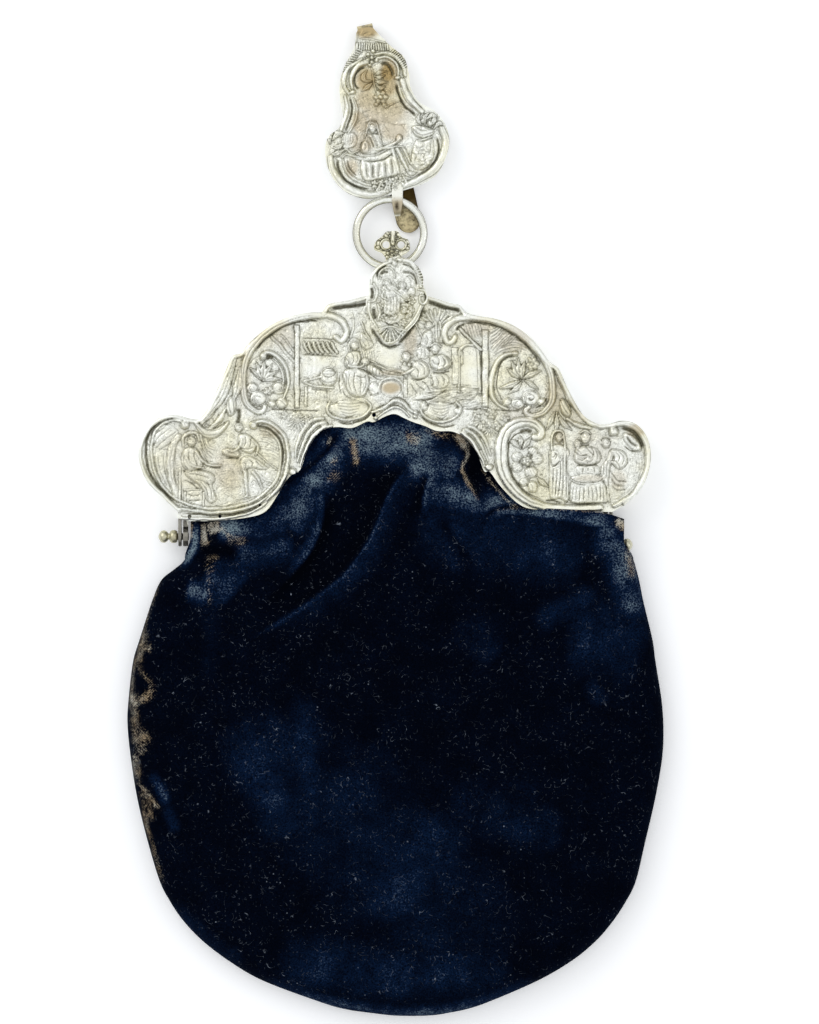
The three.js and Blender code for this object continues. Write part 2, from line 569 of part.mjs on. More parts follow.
function velvetPouch() {
  const positions = [];
  const faces = [];
  const addPoint = (x, y, z) => positions.push(x, y, z) / 3 - 1;
  const onSeam = (r, c) => r === 0 || (r <= LOW_ROWS && (c === 0 || c === COLUMNS));

  // Two nested skins, each with a front and a back that share the seam
  const skins = [0, CLOTH].map((cloth) => {
    const rows = pouchRows(cloth === 0 ? 0 : SEAM_INSET);
    const leftSide = rows.slice(0, LOW_ROWS + 1).map((row) => row[0]);
    const rightSide = rows.slice(0, LOW_ROWS + 1).map((row) => row[COLUMNS]);
    const seam = [...leftSide.reverse(), ...rows[0], ...rightSide].map(([x, y]) => new THREE.Vector2(x, y));
    const front = rows.map((row, r) => row.map(([x, y], c) => {
      const z = onSeam(r, c) ? SEAM_Z : skinHeights(x, y, seam, cloth).front;
      return addPoint(x, y, z);
    }));
    const back = rows.map((row, r) => row.map(([x, y], c) => {
      return onSeam(r, c) ? front[r][c] : addPoint(x, y, skinHeights(x, y, seam, cloth).back);
    }));
    return { front, back };
  });

  const quad = (a, b, c, d) => faces.push(a, b, c, a, c, d);
  const [outer, inner] = skins;
  const last = LOW_ROWS + MOUTH_ROWS;
  for (let r = 0; r < last; r += 1) {
    for (let c = 0; c < COLUMNS; c += 1) {
      const around = (grid) => [grid[r][c], grid[r][c + 1], grid[r + 1][c + 1], grid[r + 1][c]];
      quad(...around(outer.front));
      quad(...around(outer.back).reverse());
      quad(...around(inner.front).reverse());
      quad(...around(inner.back));
    }
  }
  // Edges of the cloth round the mouth and down the two slits
  for (let c = 0; c < COLUMNS; c += 1) {
    quad(outer.front[last][c], outer.front[last][c + 1], inner.front[last][c + 1], inner.front[last][c]);
    quad(inner.back[last][c], inner.back[last][c + 1], outer.back[last][c + 1], outer.back[last][c]);
  }
  const slit = (near, far, r, c) => quad(near[r][c], near[r + 1][c], far[r + 1][c], far[r][c]);
  for (let r = LOW_ROWS; r < last; r += 1) {
    slit(outer.front, inner.front, r, 0);
    slit(inner.back, outer.back, r, 0);
    slit(inner.front, outer.front, r, COLUMNS);
    slit(outer.back, inner.back, r, COLUMNS);
  }
  const geometry = new THREE.BufferGeometry();
  geometry.setAttribute('position', new THREE.Float32BufferAttribute(positions, 3));
  geometry.setIndex(faces);
  return geometry;
}

const group = new THREE.Group();

function addNode(name, geometry, color, roughness, metalness) {
  geometry.computeVertexNormals();
  const mesh = new THREE.Mesh(geometry, new THREE.MeshStandardMaterial({ color, roughness, metalness }));
  mesh.name = name;
  group.add(mesh);
}

function addMetal(name, solid, color = SILVER) {
  const { vertProperties, triVerts } = solid.getMesh();
  const geometry = new THREE.BufferGeometry();
  geometry.setAttribute('position', new THREE.Float32BufferAttribute(vertProperties, 3));
  geometry.setIndex(Array.from(triVerts));
  addNode(name, geometry, color, 0.35, 1);
}

addMetal('front_frame', frontFrame());
addMetal('back_frame', backFrame());
addMetal('hinge_pin_left', hingePin('left'), BRASSY);
addMetal('hinge_pin_right', hingePin('right'), BRASSY);
addMetal('clasp_flap', claspFlap());
addMetal('clasp_pin', claspPin());
addMetal('suspension_ring', suspensionRing());
addMetal('belt_hook', beltHook());
addNode('velvet_pouch', velvetPouch(), VELVET, 0.95, 0);

export default group;
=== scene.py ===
# Looks of a silver frame bag lying on its back: raised and chased silver, a velvet pouch and a belt hook.
import json
import math
import random

import bmesh
import bpy
import numpy as np
from mathutils import Matrix, Vector, noise

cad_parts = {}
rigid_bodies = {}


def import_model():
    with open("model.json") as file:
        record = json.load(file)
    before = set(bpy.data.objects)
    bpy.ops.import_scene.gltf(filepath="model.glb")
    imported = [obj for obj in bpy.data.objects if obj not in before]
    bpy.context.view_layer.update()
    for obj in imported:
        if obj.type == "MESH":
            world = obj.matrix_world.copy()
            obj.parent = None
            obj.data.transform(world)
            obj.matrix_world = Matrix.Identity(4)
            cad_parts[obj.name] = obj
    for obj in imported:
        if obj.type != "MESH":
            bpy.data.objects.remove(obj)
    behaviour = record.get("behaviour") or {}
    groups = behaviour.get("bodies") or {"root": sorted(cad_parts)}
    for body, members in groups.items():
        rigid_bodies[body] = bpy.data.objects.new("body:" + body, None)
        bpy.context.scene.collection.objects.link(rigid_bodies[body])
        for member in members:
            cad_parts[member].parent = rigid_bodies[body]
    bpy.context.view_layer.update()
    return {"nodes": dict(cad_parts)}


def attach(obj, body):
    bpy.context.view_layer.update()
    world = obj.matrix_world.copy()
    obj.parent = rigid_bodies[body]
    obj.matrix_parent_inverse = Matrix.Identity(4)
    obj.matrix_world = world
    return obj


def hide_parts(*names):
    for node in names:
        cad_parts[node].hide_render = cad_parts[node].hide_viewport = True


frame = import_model()
for spare in [o for o in bpy.data.objects if o.name in ("Cube", "Light", "Camera")]:
    bpy.data.objects.remove(spare)

# A millimetre in metres, a picture point in millimetres, the point at the origin and the picture's size
MM = 0.001
POINT = 0.325
MIDDLE = np.array((395.5, 517.5))
PICTURE = np.array((819, 1024))
# Front plate of the frame and its upper wall, in millimetres
FRONT_TOP = 10.6
FRONT_LOW = 9.4
WALL_LOW = 5.3
WALL = 1.6
# Hinges of the frame: side, its sign along X and its place along Y, and the height of both
HINGES = (("left", -1, -6.2), ("right", 1, -8.9))
HINGE_Z = 5.2
# Chance behind all that the hand works, drawn in one order
HAND = np.random.default_rng(4)

# Outlines of the silver, in picture points
UPPER_EDGE = [
    (178, 512), (160, 495), (146, 480), (138.5, 457), (142, 437), (154, 421), (172, 414.5), (190, 418.5),
    (199, 419), (207, 410), (217, 390), (226, 370), (232, 356), (241, 353), (250, 342), (270, 326),
    (290, 316.5), (310, 312.5), (322, 312), (329, 304), (350, 300), (367, 296), (395, 293), (427, 296),
    (450, 303), (460, 305), (466, 312), (478, 316), (498, 319.5), (518, 328), (535, 342), (549, 361),
    (559, 369), (568, 389), (583, 415), (598, 424), (610, 423.5), (622, 420.5), (636, 424), (647, 437),
    (651, 455), (648, 474), (640, 491), (625, 505)]
LOWER_EDGE = [
    (612, 512), (585, 511), (545, 510), (522, 506), (502, 488), (490, 472), (484, 471), (477, 453),
    (465, 438), (452, 431.5), (437, 431), (425, 426), (413, 422), (404, 418), (395, 414), (386, 416),
    (374, 422), (367, 421.5), (352, 428), (336, 427), (320, 432), (308, 449), (300, 470), (289, 477),
    (277, 496), (266, 511), (250, 517), (220, 520.5), (190, 521), (177, 518)]
FLAP_EDGE = [
    (395, 257), (384, 262), (374, 271), (369, 284), (369, 294), (366, 301), (368, 314), (376, 327),
    (381, 338), (389, 345), (397, 342), (406, 333), (417, 321), (422, 309), (427.5, 300), (426, 292),
    (423, 285), (423, 277), (417, 266), (407, 259)]
CROWN_EDGE = [
    (388, 260), (382, 253), (374, 249), (376, 241), (382, 236), (386, 231.5), (390, 231), (395, 230.5),
    (399, 232.5), (402, 237), (408, 239.5), (410, 246), (409, 251), (403, 255), (397, 260)]
HOOK_EDGE = [
    (357.5, 30), (354, 47), (346, 62), (340, 80), (340, 100), (343, 118), (338, 128), (328, 137),
    (325, 150), (328, 168), (338, 185), (352, 195), (370, 199), (388, 195), (404, 190), (422, 184),
    (437, 174), (446, 157), (449.5, 140), (445, 123), (434, 110), (420, 102), (411, 88), (409, 74),
    (404, 57), (391, 46), (377, 32), (371, 27)]


def plan(points):
    """Picture points, as pairs or as X and Y in turn, in millimetres about the middle of the bag."""
    p = (np.reshape(points, (-1, 2)) - MIDDLE) * POINT
    return p * (1, -1)


def flow(points, per=6, closed=False):
    """A smooth line through picture points, in millimetres."""
    p = plan(points)
    ends = (p[-1:], p[:2]) if closed else (2 * p[:1] - p[1:2], 2 * p[-1:] - p[-2:-1])
    e = np.vstack((ends[0], p, ends[1]))
    t = np.linspace(0, 1, per, endpoint=False)[:, None]
    spans = [
        0.5 * (2 * b + (c - a) * t + (2 * a - 5 * b + 4 * c - d) * t**2 + (3 * b - a - 3 * c + d) * t**3)
        for a, b, c, d in zip(e, e[1:], e[2:], e[3:])]
    return np.vstack(spans + ([] if closed else [p[-1:]]))


def reach(x, y, line):
    """Distance to a line, the share of the way along it and the nearest point."""
    best = np.full(x.shape, 1e9)
    along, near_x, near_y = np.zeros(x.shape), np.zeros(x.shape), np.zeros(x.shape)
    for i, ((ax, ay), (bx, by)) in enumerate(zip(line, line[1:])):
        dx, dy = bx - ax, by - ay
        t = np.clip(((x - ax) * dx + (y - ay) * dy) / max(dx * dx + dy * dy, 1e-12), 0, 1)
        px, py = ax + t * dx, ay + t * dy
        gap = np.hypot(x - px, y - py)
        closer = gap < best
        best = np.where(closer, gap, best)
        along = np.where(closer, (i + t) / (len(line) - 1), along)
        near_x, near_y = np.where(closer, px, near_x), np.where(closer, py, near_y)
    return best, along, near_x, near_y


def inside(x, y, ring):
    """True where a plan point lies inside a closed line."""
    odd = np.zeros(x.shape, bool)
    for (ax, ay), (bx, by) in zip(ring, np.roll(ring, -1, axis=0)):
        if ay != by:
            odd ^= ((ay > y) != (by > y)) & (x < (bx - ax) * (y - ay) / (by - ay) + ax)
    return odd


def smooth(low, high, value):
    """Zero at low and one at high, with a soft way between."""
    t = np.clip((value - low) / (high - low), 0, 1)
    return t * t * (3 - 2 * t)


def soften(field, cells):
    """A field averaged three times over a square of cells."""
    for axis in (0, 1):
        for _ in range(3):
            pad = [(cells + 1, cells) if a == axis else (0, 0) for a in (0, 1)]
            total = np.cumsum(np.pad(field, pad, mode="edge"), axis=axis)
            n = 2 * cells + 1
            far = np.take(total, range(n, total.shape[axis]), axis)
            field = (far - np.take(total, range(total.shape[axis] - n), axis)) / n
    return field


class Relief:
    """A sheet of silver worked up from flat: a height over a fine plan grid, raised motif by motif.

    Places, lengths and half widths are in picture points, and rises in millimetres.
    """

    def __init__(self, edge, step, holes=()):
        self.edge, self.step = edge, step
        low, high = edge.min(0) - 2 * step, edge.max(0) + 2 * step
        count = np.ceil((high - low) / step).astype(int)
        self.low, self.count = low, count
        self.x, self.y = np.meshgrid(
            low[0] + np.arange(count[0] + 1) * step, low[1] + np.arange(count[1] + 1) * step)
        gap, _, self.near_x, self.near_y = reach(self.x, self.y, np.vstack((edge, edge[:1])))
        self.inset = np.where(inside(self.x, self.y, edge), gap, -gap)
        for hx, hy, radius in holes:
            (cx, cy), r = plan([(hx, hy)])[0], radius * POINT
            away = np.maximum(np.hypot(self.x - cx, self.y - cy), 1e-6)
            closer = away - r < self.inset
            self.inset = np.where(closer, away - r, self.inset)
            self.near_x = np.where(closer, cx + (self.x - cx) * r / away, self.near_x)
            self.near_y = np.where(closer, cy + (self.y - cy) * r / away, self.near_y)
        # Height in millimetres, tarnish in the lines with some painted shade among them, warm stain, and
        # the share of fine worked lines
        self.h, self.ink, self.stain_and_shade = (np.zeros(self.x.shape) for _ in range(3))
        self.matted = np.ones(self.x.shape)
        self.grid_x, self.grid_y = self.x, self.y
        self.x = self.x + self.wander(1.6, 0.07)
        self.y = self.y + self.wander(1.6, 0.07)

    def wander(self, size, depth):
        """A smooth random field, as the hand wanders."""
        field = soften(HAND.normal(size=self.h.shape), max(int(round(size / self.step / 2)), 1))
        return depth * field / field.std()

    def brushwork(self):
        """Fine worked lines that run along the forms."""
        lead = 2.0 * soften(self.h, max(int(round(0.7 / self.step)), 1)) + self.wander(4.5, 0.5)
        slope_y, slope_x = np.gradient(lead)
        steep = np.hypot(slope_x, slope_y) + 1e-9
        grain = HAND.normal(size=self.h.shape)
        total = grain.copy()
        last = np.array(self.h.shape) - 1
        for way in (-1, 1):
            r, c = (i.astype(float) for i in np.indices(self.h.shape))
            for _ in range(int(1.2 / self.step)):
                at = tuple(np.clip(np.rint(i), 0, end).astype(int) for i, end in zip((r, c), last))
                total += grain[at]
                r += way * slope_x[at] / steep[at]
                c -= way * slope_y[at] / steep[at]
        return total / total.std()

    def curls(self, count):
        """Short chased curls scattered over the low places."""
        places = np.argwhere((self.h < 0.8) & (self.inset > 0.9))
        for row, column in places[HAND.integers(0, len(places), count)]:
            turn, bend, size = HAND.uniform(0, math.tau), HAND.normal(0, 0.9), HAND.uniform(2, 5)
            way = [turn + bend * k for k in (-1, 0, 1)]
            at = np.array((self.x[row, column], -self.y[row, column])) / POINT + MIDDLE
            steps = [size * np.array((math.cos(a), math.sin(a))) for a in way]
            self.crease(
                0.5, HAND.choice((-0.16, 0.14)),
                [at, at + steps[0], at + steps[0] + steps[1], at + sum(steps)])

    def window(self, low, high):
        """Rows and columns of the grid between two corners."""
        a = np.clip(np.floor((low - self.low) / self.step).astype(int), 0, self.count)
        b = np.clip(np.ceil((high - self.low) / self.step).astype(int) + 1, 1, self.count + 1)
        return slice(a[1], b[1]), slice(a[0], b[0])

    def raise_up(self, cut, out, rise, rounding, chase=0.16):
        """Raises what lies inside (out below zero) and chases a line round it."""
        h = self.h[cut]
        up = np.clip(-out / rounding, 0, 1)
        top = rise * np.sqrt(1 - (1 - up) ** 2)
        h = np.where(out < 0, np.maximum(h, top + 0.35 * h), h)
        # A chased line close outside the edge, and a fainter one further out
        line = np.exp(-((out - 0.08) / 0.15) ** 2) + 0.35 * np.exp(-((out - 0.65) / 0.13) ** 2)
        self.h[cut] = h - chase * line
        self.ink[cut] = np.maximum(
            np.where(out < -0.2, 0.3, 1.0) * self.ink[cut], min(4.0 * chase, 1) * line)

    def ridge(self, half, rise, points, ends=(1, 1), mid=1.0, rounding=1.0, chase=0.16, line=None):
        """A rounded bar along a line, with its shares of the half width at both ends and in the middle."""
        line = flow(points) if line is None else line
        half = half * POINT
        cut = self.window(line.min(0) - half - 1, line.max(0) + half + 1)
        gap, t, _, _ = reach(self.x[cut], self.y[cut], line)
        wide = half * np.interp(t, (0, 0.5, 1), (ends[0], mid, ends[1]))
        self.raise_up(cut, gap - wide, rise, np.maximum(wide * rounding, 0.05), chase)

    def crease(self, half, rise, points):
        """Adds a fine fold, or a cut line where rise is below zero."""
        line = flow(points, 4)
        half = half * POINT
        cut = self.window(line.min(0) - 3 * half, line.max(0) + 3 * half)
        gap, t, _, _ = reach(self.x[cut], self.y[cut], line)
        ends = np.clip(8 * np.minimum(t, 1 - t) + 0.3, 0, 1)
        self.h[cut] += rise * np.exp(-(gap / half) ** 2) * ends
        middle, width = (0, half) if rise < 0 else (1.7 * half, 0.7 * half)
        line = min(2.6 * abs(rise), 1) * np.exp(-((gap - middle) / width) ** 2) * ends
        self.ink[cut] = np.maximum(self.ink[cut], line)

    def creases(self, half, rise, lines):
        """Several creases of one kind."""
        for points in lines:
            self.crease(half, rise, points)

    def dome(self, x, y, wide, tall, rise, turn=0, rounding=0.8, chase=0.16):
        """A rounded boss, round or oval."""
        (cx, cy), a = plan([(x, y)])[0], math.radians(turn)
        wide, tall = wide * POINT, tall * POINT
        size = max(wide, tall) + 1
        cut = self.window(np.array((cx - size, cy - size)), np.array((cx + size, cy + size)))
        dx, dy = self.x[cut] - cx, self.y[cut] - cy
        u, v = dx * math.cos(a) + dy * math.sin(a), dy * math.cos(a) - dx * math.sin(a)
        least = min(wide, tall)
        self.raise_up(cut, (np.hypot(u / wide, v / tall) - 1) * least, rise, least * rounding, chase)

    def form(self, rise, rounding, points, chase=0.18):
        """A raised shape with its own closed outline."""
        ring = flow(points, 4, True)
        cut = self.window(ring.min(0) - 1, ring.max(0) + 1)
        gap = reach(self.x[cut], self.y[cut], np.vstack((ring, ring[:1])))[0]
        self.raise_up(
            cut, np.where(inside(self.x[cut], self.y[cut], ring), -gap, gap), rise, rounding, chase)

    def panel(self, x0, y0, x1, y1, rise, chase=0.2):
        """A raised flat board with square edges."""
        (ax, ay), (bx, by) = plan([(x0, y1), (x1, y0)])
        cut = self.window(np.array((ax - 1, ay - 1)), np.array((bx + 1, by + 1)))
        dx = np.abs(self.x[cut] - (ax + bx) / 2) - (bx - ax) / 2
        dy = np.abs(self.y[cut] - (ay + by) / 2) - (by - ay) / 2
        self.raise_up(cut, np.maximum(dx, dy), rise, 0.4, chase)

    def flower(self, x, y, size, petals, rise, turn=0):
        """An open flower: uneven petals round a button."""
        for k in range(petals):
            a = math.radians(turn + 360 * k / petals + HAND.uniform(-15, 15))
            c = size * HAND.uniform(0.8, 1.15) * math.cos(a)
            s = -size * HAND.uniform(0.8, 1.15) * math.sin(a)
            wide = (0.42 if petals < 6 else 0.34) * size * HAND.uniform(0.75, 1.1)
            self.dome(
                x + 0.58 * c, y + 0.58 * s, 0.46 * size, wide, rise * HAND.uniform(0.8, 1.1),
                math.degrees(a), 1.0)
            self.crease(0.45, -0.16, [(x + 0.35 * c, y + 0.35 * s), (x + 0.9 * c, y + 0.9 * s)])
        self.dome(x, y, 0.27 * size, 0.25 * size, rise * 1.15, 0, 1.0, 0.18)

    def rose(self, x, y, size, rise):
        """A full rose: a low mound of curled petal edges."""
        self.dome(x, y, size, 0.9 * size, rise, 0, 0.6)
        for share in (0.2, 0.36, 0.52, 0.68, 0.84, 0.84):
            start = HAND.uniform(0, math.tau)
            self.crease(0.5, -0.32, [
                (x + share * size * math.cos(start + k), y + 0.9 * share * size * math.sin(start + k))
                for k in (0, 0.8, 1.6, 2.4)])

    def plain(self, x, y, wide, tall):
        """A place left smooth."""
        cx, cy = plan([(x, y)])[0]
        away = np.hypot((self.x - cx) / (wide * POINT), (self.y - cy) / (tall * POINT))
        self.matted = np.minimum(self.matted, 0.3 + 0.7 * smooth(0.5, 1.2, away))

    def head(self, x, y, wide, tall, rise):
        """A head in low relief, its hair, eyes and mouth only hinted at."""
        self.dome(x, y, wide, tall, rise)
        self.ridge(0.8, rise, [
            (x - wide, y + 0.3 * tall), (x - 0.7 * wide, y - 0.7 * tall), (x, y - tall),
            (x + 0.7 * wide, y - 0.7 * tall), (x + wide, y + 0.3 * tall)], (0.5, 0.5))
        self.creases(0.4, -0.3, [
            [(x - 0.5 * wide, y - 0.1 * tall), (x - 0.15 * wide, y - 0.1 * tall)],
            [(x + 0.2 * wide, y - 0.1 * tall), (x + 0.55 * wide, y - 0.1 * tall)],
            [(x - 0.25 * wide, y + 0.5 * tall), (x + 0.3 * wide, y + 0.5 * tall)]])

    def leaf(self, half, rise, points, veins=4):
        """A pointed leaf with its midrib and paired veins."""
        self.ridge(half, rise, points, (0.2, 0.15), 1.0, 1.0, 0.2)
        line = np.reshape(points, (-1, 2))
        self.crease(0.6, -0.3, points)
        ends = line[-1] - line[0]
        side = np.array((-ends[1], ends[0])) / max(np.hypot(*ends), 1e-6)
        for k in range(1, veins + 1):
            at = flow(points, 10)[int((len(line) - 1) * 10 * k / (veins + 1.3))]
            at = np.array((at[0], -at[1])) / POINT + MIDDLE
            for s in (-1, 1):
                self.crease(0.5, -0.14, [
                    at, at + s * side * half * 0.85 + ends / np.hypot(*ends) * half * 0.7])

    def fan(self, x, y, inner, outer, start, stop, ribs, half, rise):
        """Ribs that spread from one point, as in a shell."""
        for a in np.radians(np.linspace(start, stop, ribs)):
            c, s = math.cos(a), -math.sin(a)
            self.ridge(
                half, rise, [(x + inner * c, y + inner * s), (x + outer * c, y + outer * s)], (0.5, 1.0),
                0.9, 1.0, 0.12)

    def strokes(self, x0, y0, x1, y1, count, length, angle, spread, rise, seed):
        """Short worked strokes over a patch: straw, bark, brick or a matted ground."""
        pick = random.Random(seed)
        for _ in range(count):
            x, y = pick.uniform(x0, x1), pick.uniform(y0, y1)
            a = math.radians(angle + pick.uniform(-spread, spread))
            dx, dy = length * 0.5 * math.cos(a), -length * 0.5 * math.sin(a)
            self.crease(0.75, rise * pick.choice((1, 1, -0.8)), [(x - dx, y - dy), (x + dx, y + dy)])

    def blot(self, x, y, wide, tall, amount):
        """A warm patch of tarnish."""
        cx, cy = plan([(x, y)])[0]
        away = np.hypot((self.x - cx) / (wide * POINT), (self.y - cy) / (tall * POINT))
        self.stain_and_shade = np.maximum(self.stain_and_shade, amount * smooth(1.15, 0.45, away))

    def object(self, name, top, low):
        """The worked sheet as a mesh with its rim, underside, marks of wear, and tarnish with painted
        shade.
        """
        worked = self.matted * smooth(0.5, 1.5, self.inset) * (1 - 0.6 * smooth(0.9, 1.5, self.h))
        lines = self.brushwork() * worked
        self.ink = np.maximum(self.ink, 0.6 * smooth(0.1, 2.0, -lines))
        self.h += self.wander(0.9, 0.05) * smooth(0.3, 1.2, self.inset) + 0.07 * lines
        h = self.h
        # Tarnish in the chased lines and hollows, with painted shade where the surface lies lower than its
        # surroundings
        wide = max(int(round(1.0 / self.step)), 1)
        tarnish_and_shade = 0.8 * self.ink + 0.28 * np.clip((soften(h, wide) - h) / 0.6, 0, 1)
        bm = bmesh.new()
        bmesh.ops.create_grid(bm, x_segments=int(self.count[0]), y_segments=int(self.count[1]), size=1)
        bm.verts.ensure_lookup_table()
        row = self.count[0] + 1
        tarnish_and_shade_key, stain_and_shade_key, chased_key = (
            bm.verts.layers.float.new(key) for key in ("tarnish_and_shade", "stain_and_shade", "chased"))
        gone = []
        for i, v in enumerate(bm.verts):
            at = (i // row, i % row)
            if self.inset[at] < -0.55 * self.step:
                gone.append(v)
                continue
            v.co = (self.grid_x[at] * MM, self.grid_y[at] * MM, (top + h[at]) * MM)
            v[tarnish_and_shade_key], v[stain_and_shade_key], v[chased_key] = min(tarnish_and_shade[at], 1), self.stain_and_shade[at], worked[at]
        places = {v: (i // row, i % row) for i, v in enumerate(bm.verts)}
        bmesh.ops.delete(bm, geom=gone, context="VERTS")
        loose = [v for v in bm.verts if not v.link_faces]
        bmesh.ops.delete(bm, geom=loose, context="VERTS")
        rim = [e for e in bm.edges if e.is_boundary]
        for v in {v for e in rim for v in e.verts}:
            at = places[v]
            v.co.x, v.co.y = self.near_x[at] * MM, self.near_y[at] * MM
        for f in bm.faces:
            f.smooth = True
        for e in rim:
            e.smooth = False
        made = bmesh.ops.extrude_edge_only(bm, edges=rim)["geom"]
        for v in [g for g in made if isinstance(g, bmesh.types.BMVert)]:
            v.co.z = low * MM
        under = [g for g in made if isinstance(g, bmesh.types.BMEdge) and g.is_boundary]
        bmesh.ops.triangle_fill(bm, edges=under, use_beauty=True)
        bmesh.ops.recalc_face_normals(bm, faces=bm.faces)
        return finish_mesh(bm, name)


def finish_mesh(bm, name, shade_smooth=False):
    """A bmesh as an object of the scene."""
    mesh = bpy.data.meshes.new(name)
    bm.to_mesh(mesh)
    bm.free()
    if shade_smooth:
        mesh.shade_smooth()
    obj = bpy.data.objects.new(name, mesh)
    bpy.context.scene.collection.objects.link(obj)
    return obj


# Materials

def srgb(code):
    """Linear colour of an sRGB hex value."""
    parts = [int(code[i:i + 2], 16) / 255 for i in (1, 3, 5)]
    return (*(c / 12.92 if c <= 0.04045 else ((c + 0.055) / 1.055) ** 2.4 for c in parts), 1.0)


def add(tree, kind, inputs=None, out=0, **settings):
    """Add a node with its settings, numbers and links, and give back one of its outputs."""
    node = tree.nodes.new("ShaderNode" + kind)
    for key, value in settings.items():
        setattr(node, key, value)
    for key, value in (inputs or {}).items():
        if isinstance(value, bpy.types.NodeSocket):
            tree.links.new(value, node.inputs[key])
        else:
            node.inputs[key].default_value = value
    return node.outputs[out]


def fineness(size):
    """Scale of a pattern whose marks are this many millimetres across."""
    return 1 / (size * MM)


def new_material(name, looks):
    """A material, its tree and its shader, with the shader's plain values set."""
    material = bpy.data.materials.new(name)
    material.use_nodes = True
    shader = material.node_tree.nodes["Principled BSDF"]
    for key, value in looks.items():
        shader.inputs[key].default_value = value
    return material, material.node_tree, shader


def silver(name, bright, warm, dark, stain_and_shade, rough, spots=0.0):
    """Raised silver: bright where handling polished it, brown-grey in chased lines and where shade is
    painted, with warm patches.
    """
    material, tree, shader = new_material(name, {"Metallic": 1.0})
    place = add(tree, "TexCoord", out="Object")
    tarnish_and_shade = add(tree, "Attribute", out="Fac", attribute_name="tarnish_and_shade")
    blot = add(tree, "Attribute", out="Fac", attribute_name="stain_and_shade")
    chased = add(tree, "Attribute", out="Fac", attribute_name="chased")
    # Wide warm patches, a mottle, and fine scratches drawn as coarse a grain as it takes to show
    patch = add(tree, "TexNoise", {"Vector": place, "Scale": fineness(14), "Detail": 4.0})
    grain = add(tree, "TexNoise", {"Vector": place, "Scale": fineness(0.53), "Detail": 2.0})
    mottle = add(tree, "TexNoise", {
        "Vector": place, "Scale": fineness(2.4), "Detail": 6.0, "Roughness": 0.65})
    warmth = add(tree, "MapRange", {0: patch, 1: 0.42, 2: 0.68})
    colour = add(tree, "Mix", {0: warmth, 6: srgb(bright), 7: srgb(warm)}, 2, data_type="RGBA")
    # Warm stain colour: tarnish blots on the plates, and painted shade across the tab's curl
    colour = add(tree, "Mix", {0: blot, 6: colour, 7: srgb(stain_and_shade)}, 2, data_type="RGBA")
    # Fine curled lines of the chaser's punch
    punch = add(tree, "TexNoise", {
        "Vector": place, "Scale": fineness(1.9), "Detail": 1.0, "Distortion": 0.8}, 1)
    sides = []
    for channel in (0, 1):
        side = add(tree, "SeparateColor", {0: punch}, channel)
        side = add(tree, "Math", {0: side, 1: 0.5}, operation="SUBTRACT")
        sides.append(add(tree, "Math", {0: side}, operation="ABSOLUTE"))
    curl = add(tree, "Math", {0: sides[0], 1: sides[1]}, operation="MINIMUM")
    curl = add(tree, "MapRange", {0: curl, 1: 0.04, 2: 0.01})
    curl = add(tree, "Math", {0: curl, 1: chased}, operation="MULTIPLY")
    # Tarnish in the hollows mixed with painted shade, then tarnish in the punch lines, in spots and as a
    # fine grain
    tarnish_and_shade_amount = add(tree, "MapRange", {0: tarnish_and_shade, 1: 0.1, 2: 0.85})
    uneven = add(tree, "MapRange", {0: grain, 1: 0.2, 2: 0.6, 3: 0.75, 4: 1.0})
    depth = add(tree, "Math", {0: tarnish_and_shade_amount, 1: uneven}, operation="MULTIPLY")
    lines = add(tree, "Math", {0: curl, 1: 0.3}, operation="MULTIPLY")
    depth = add(tree, "Math", {0: depth, 1: lines}, operation="MAXIMUM")
    spotted = add(tree, "MapRange", {0: mottle, 1: 0.42, 2: 0.58, 3: 0.0, 4: spots})
    depth = add(tree, "Math", {0: depth, 1: spotted}, operation="MAXIMUM")
    dust = add(tree, "MapRange", {0: grain, 1: 0.58, 2: 0.7, 3: 0.0, 4: 0.18})
    depth = add(tree, "Math", {0: depth, 1: dust}, operation="ADD")
    colour = add(tree, "Mix", {0: depth, 6: colour, 7: srgb(dark)}, 2, data_type="RGBA")
    tree.links.new(colour, shader.inputs["Base Color"])
    worn = add(tree, "MapRange", {0: grain, 1: 0.3, 2: 0.7, 3: rough - 0.06, 4: rough + 0.1})
    dull = add(tree, "MapRange", {0: tarnish_and_shade, 1: 0.0, 2: 1.0, 3: 0.0, 4: 0.2})
    worn = add(tree, "Math", {0: worn, 1: dull}, operation="ADD")
    tree.links.new(worn, shader.inputs["Roughness"])
    cut = add(tree, "Math", {0: curl, 1: 0.5}, operation="MULTIPLY")
    height = add(tree, "Math", {0: grain, 1: cut}, operation="SUBTRACT")
    bump = add(tree, "Bump", {"Height": height, "Strength": 0.5, "Distance": 0.14 * MM})
    tree.links.new(bump, shader.inputs["Normal"])
    return material


# What the eye sees: white chased silver, bright wire, rubbed knobs, lugs darkened as painted shade, a worn
# tab, a brown tongue
SILVER = silver("raised_silver", "#fdfef6", "#f3efd4", "#625f4b", "#b59d6c", 0.36)
WIRE = silver("drawn_silver_wire", "#f4f5ee", "#e8e6d6", "#66624d", "#b59a78", 0.22)
KNOBS = silver("rubbed_silver_knob", "#cfccb4", "#a9a181", "#57503a", "#8a6f45", 0.3)
SHADED_LUG = silver("shaded_silver_lug", "#96938a", "#77736a", "#2c2922", "#5f5646", 0.4)
TAB = silver("worn_silver_tab", "#f6f6ec", "#e8e2c4", "#2c2210", "#a08a5a", 0.34)
TONGUE = silver("brown_tarnished_silver", "#d8cca4", "#b3a27a", "#3a2d16", "#4a3c1e", 0.4, 0.75)


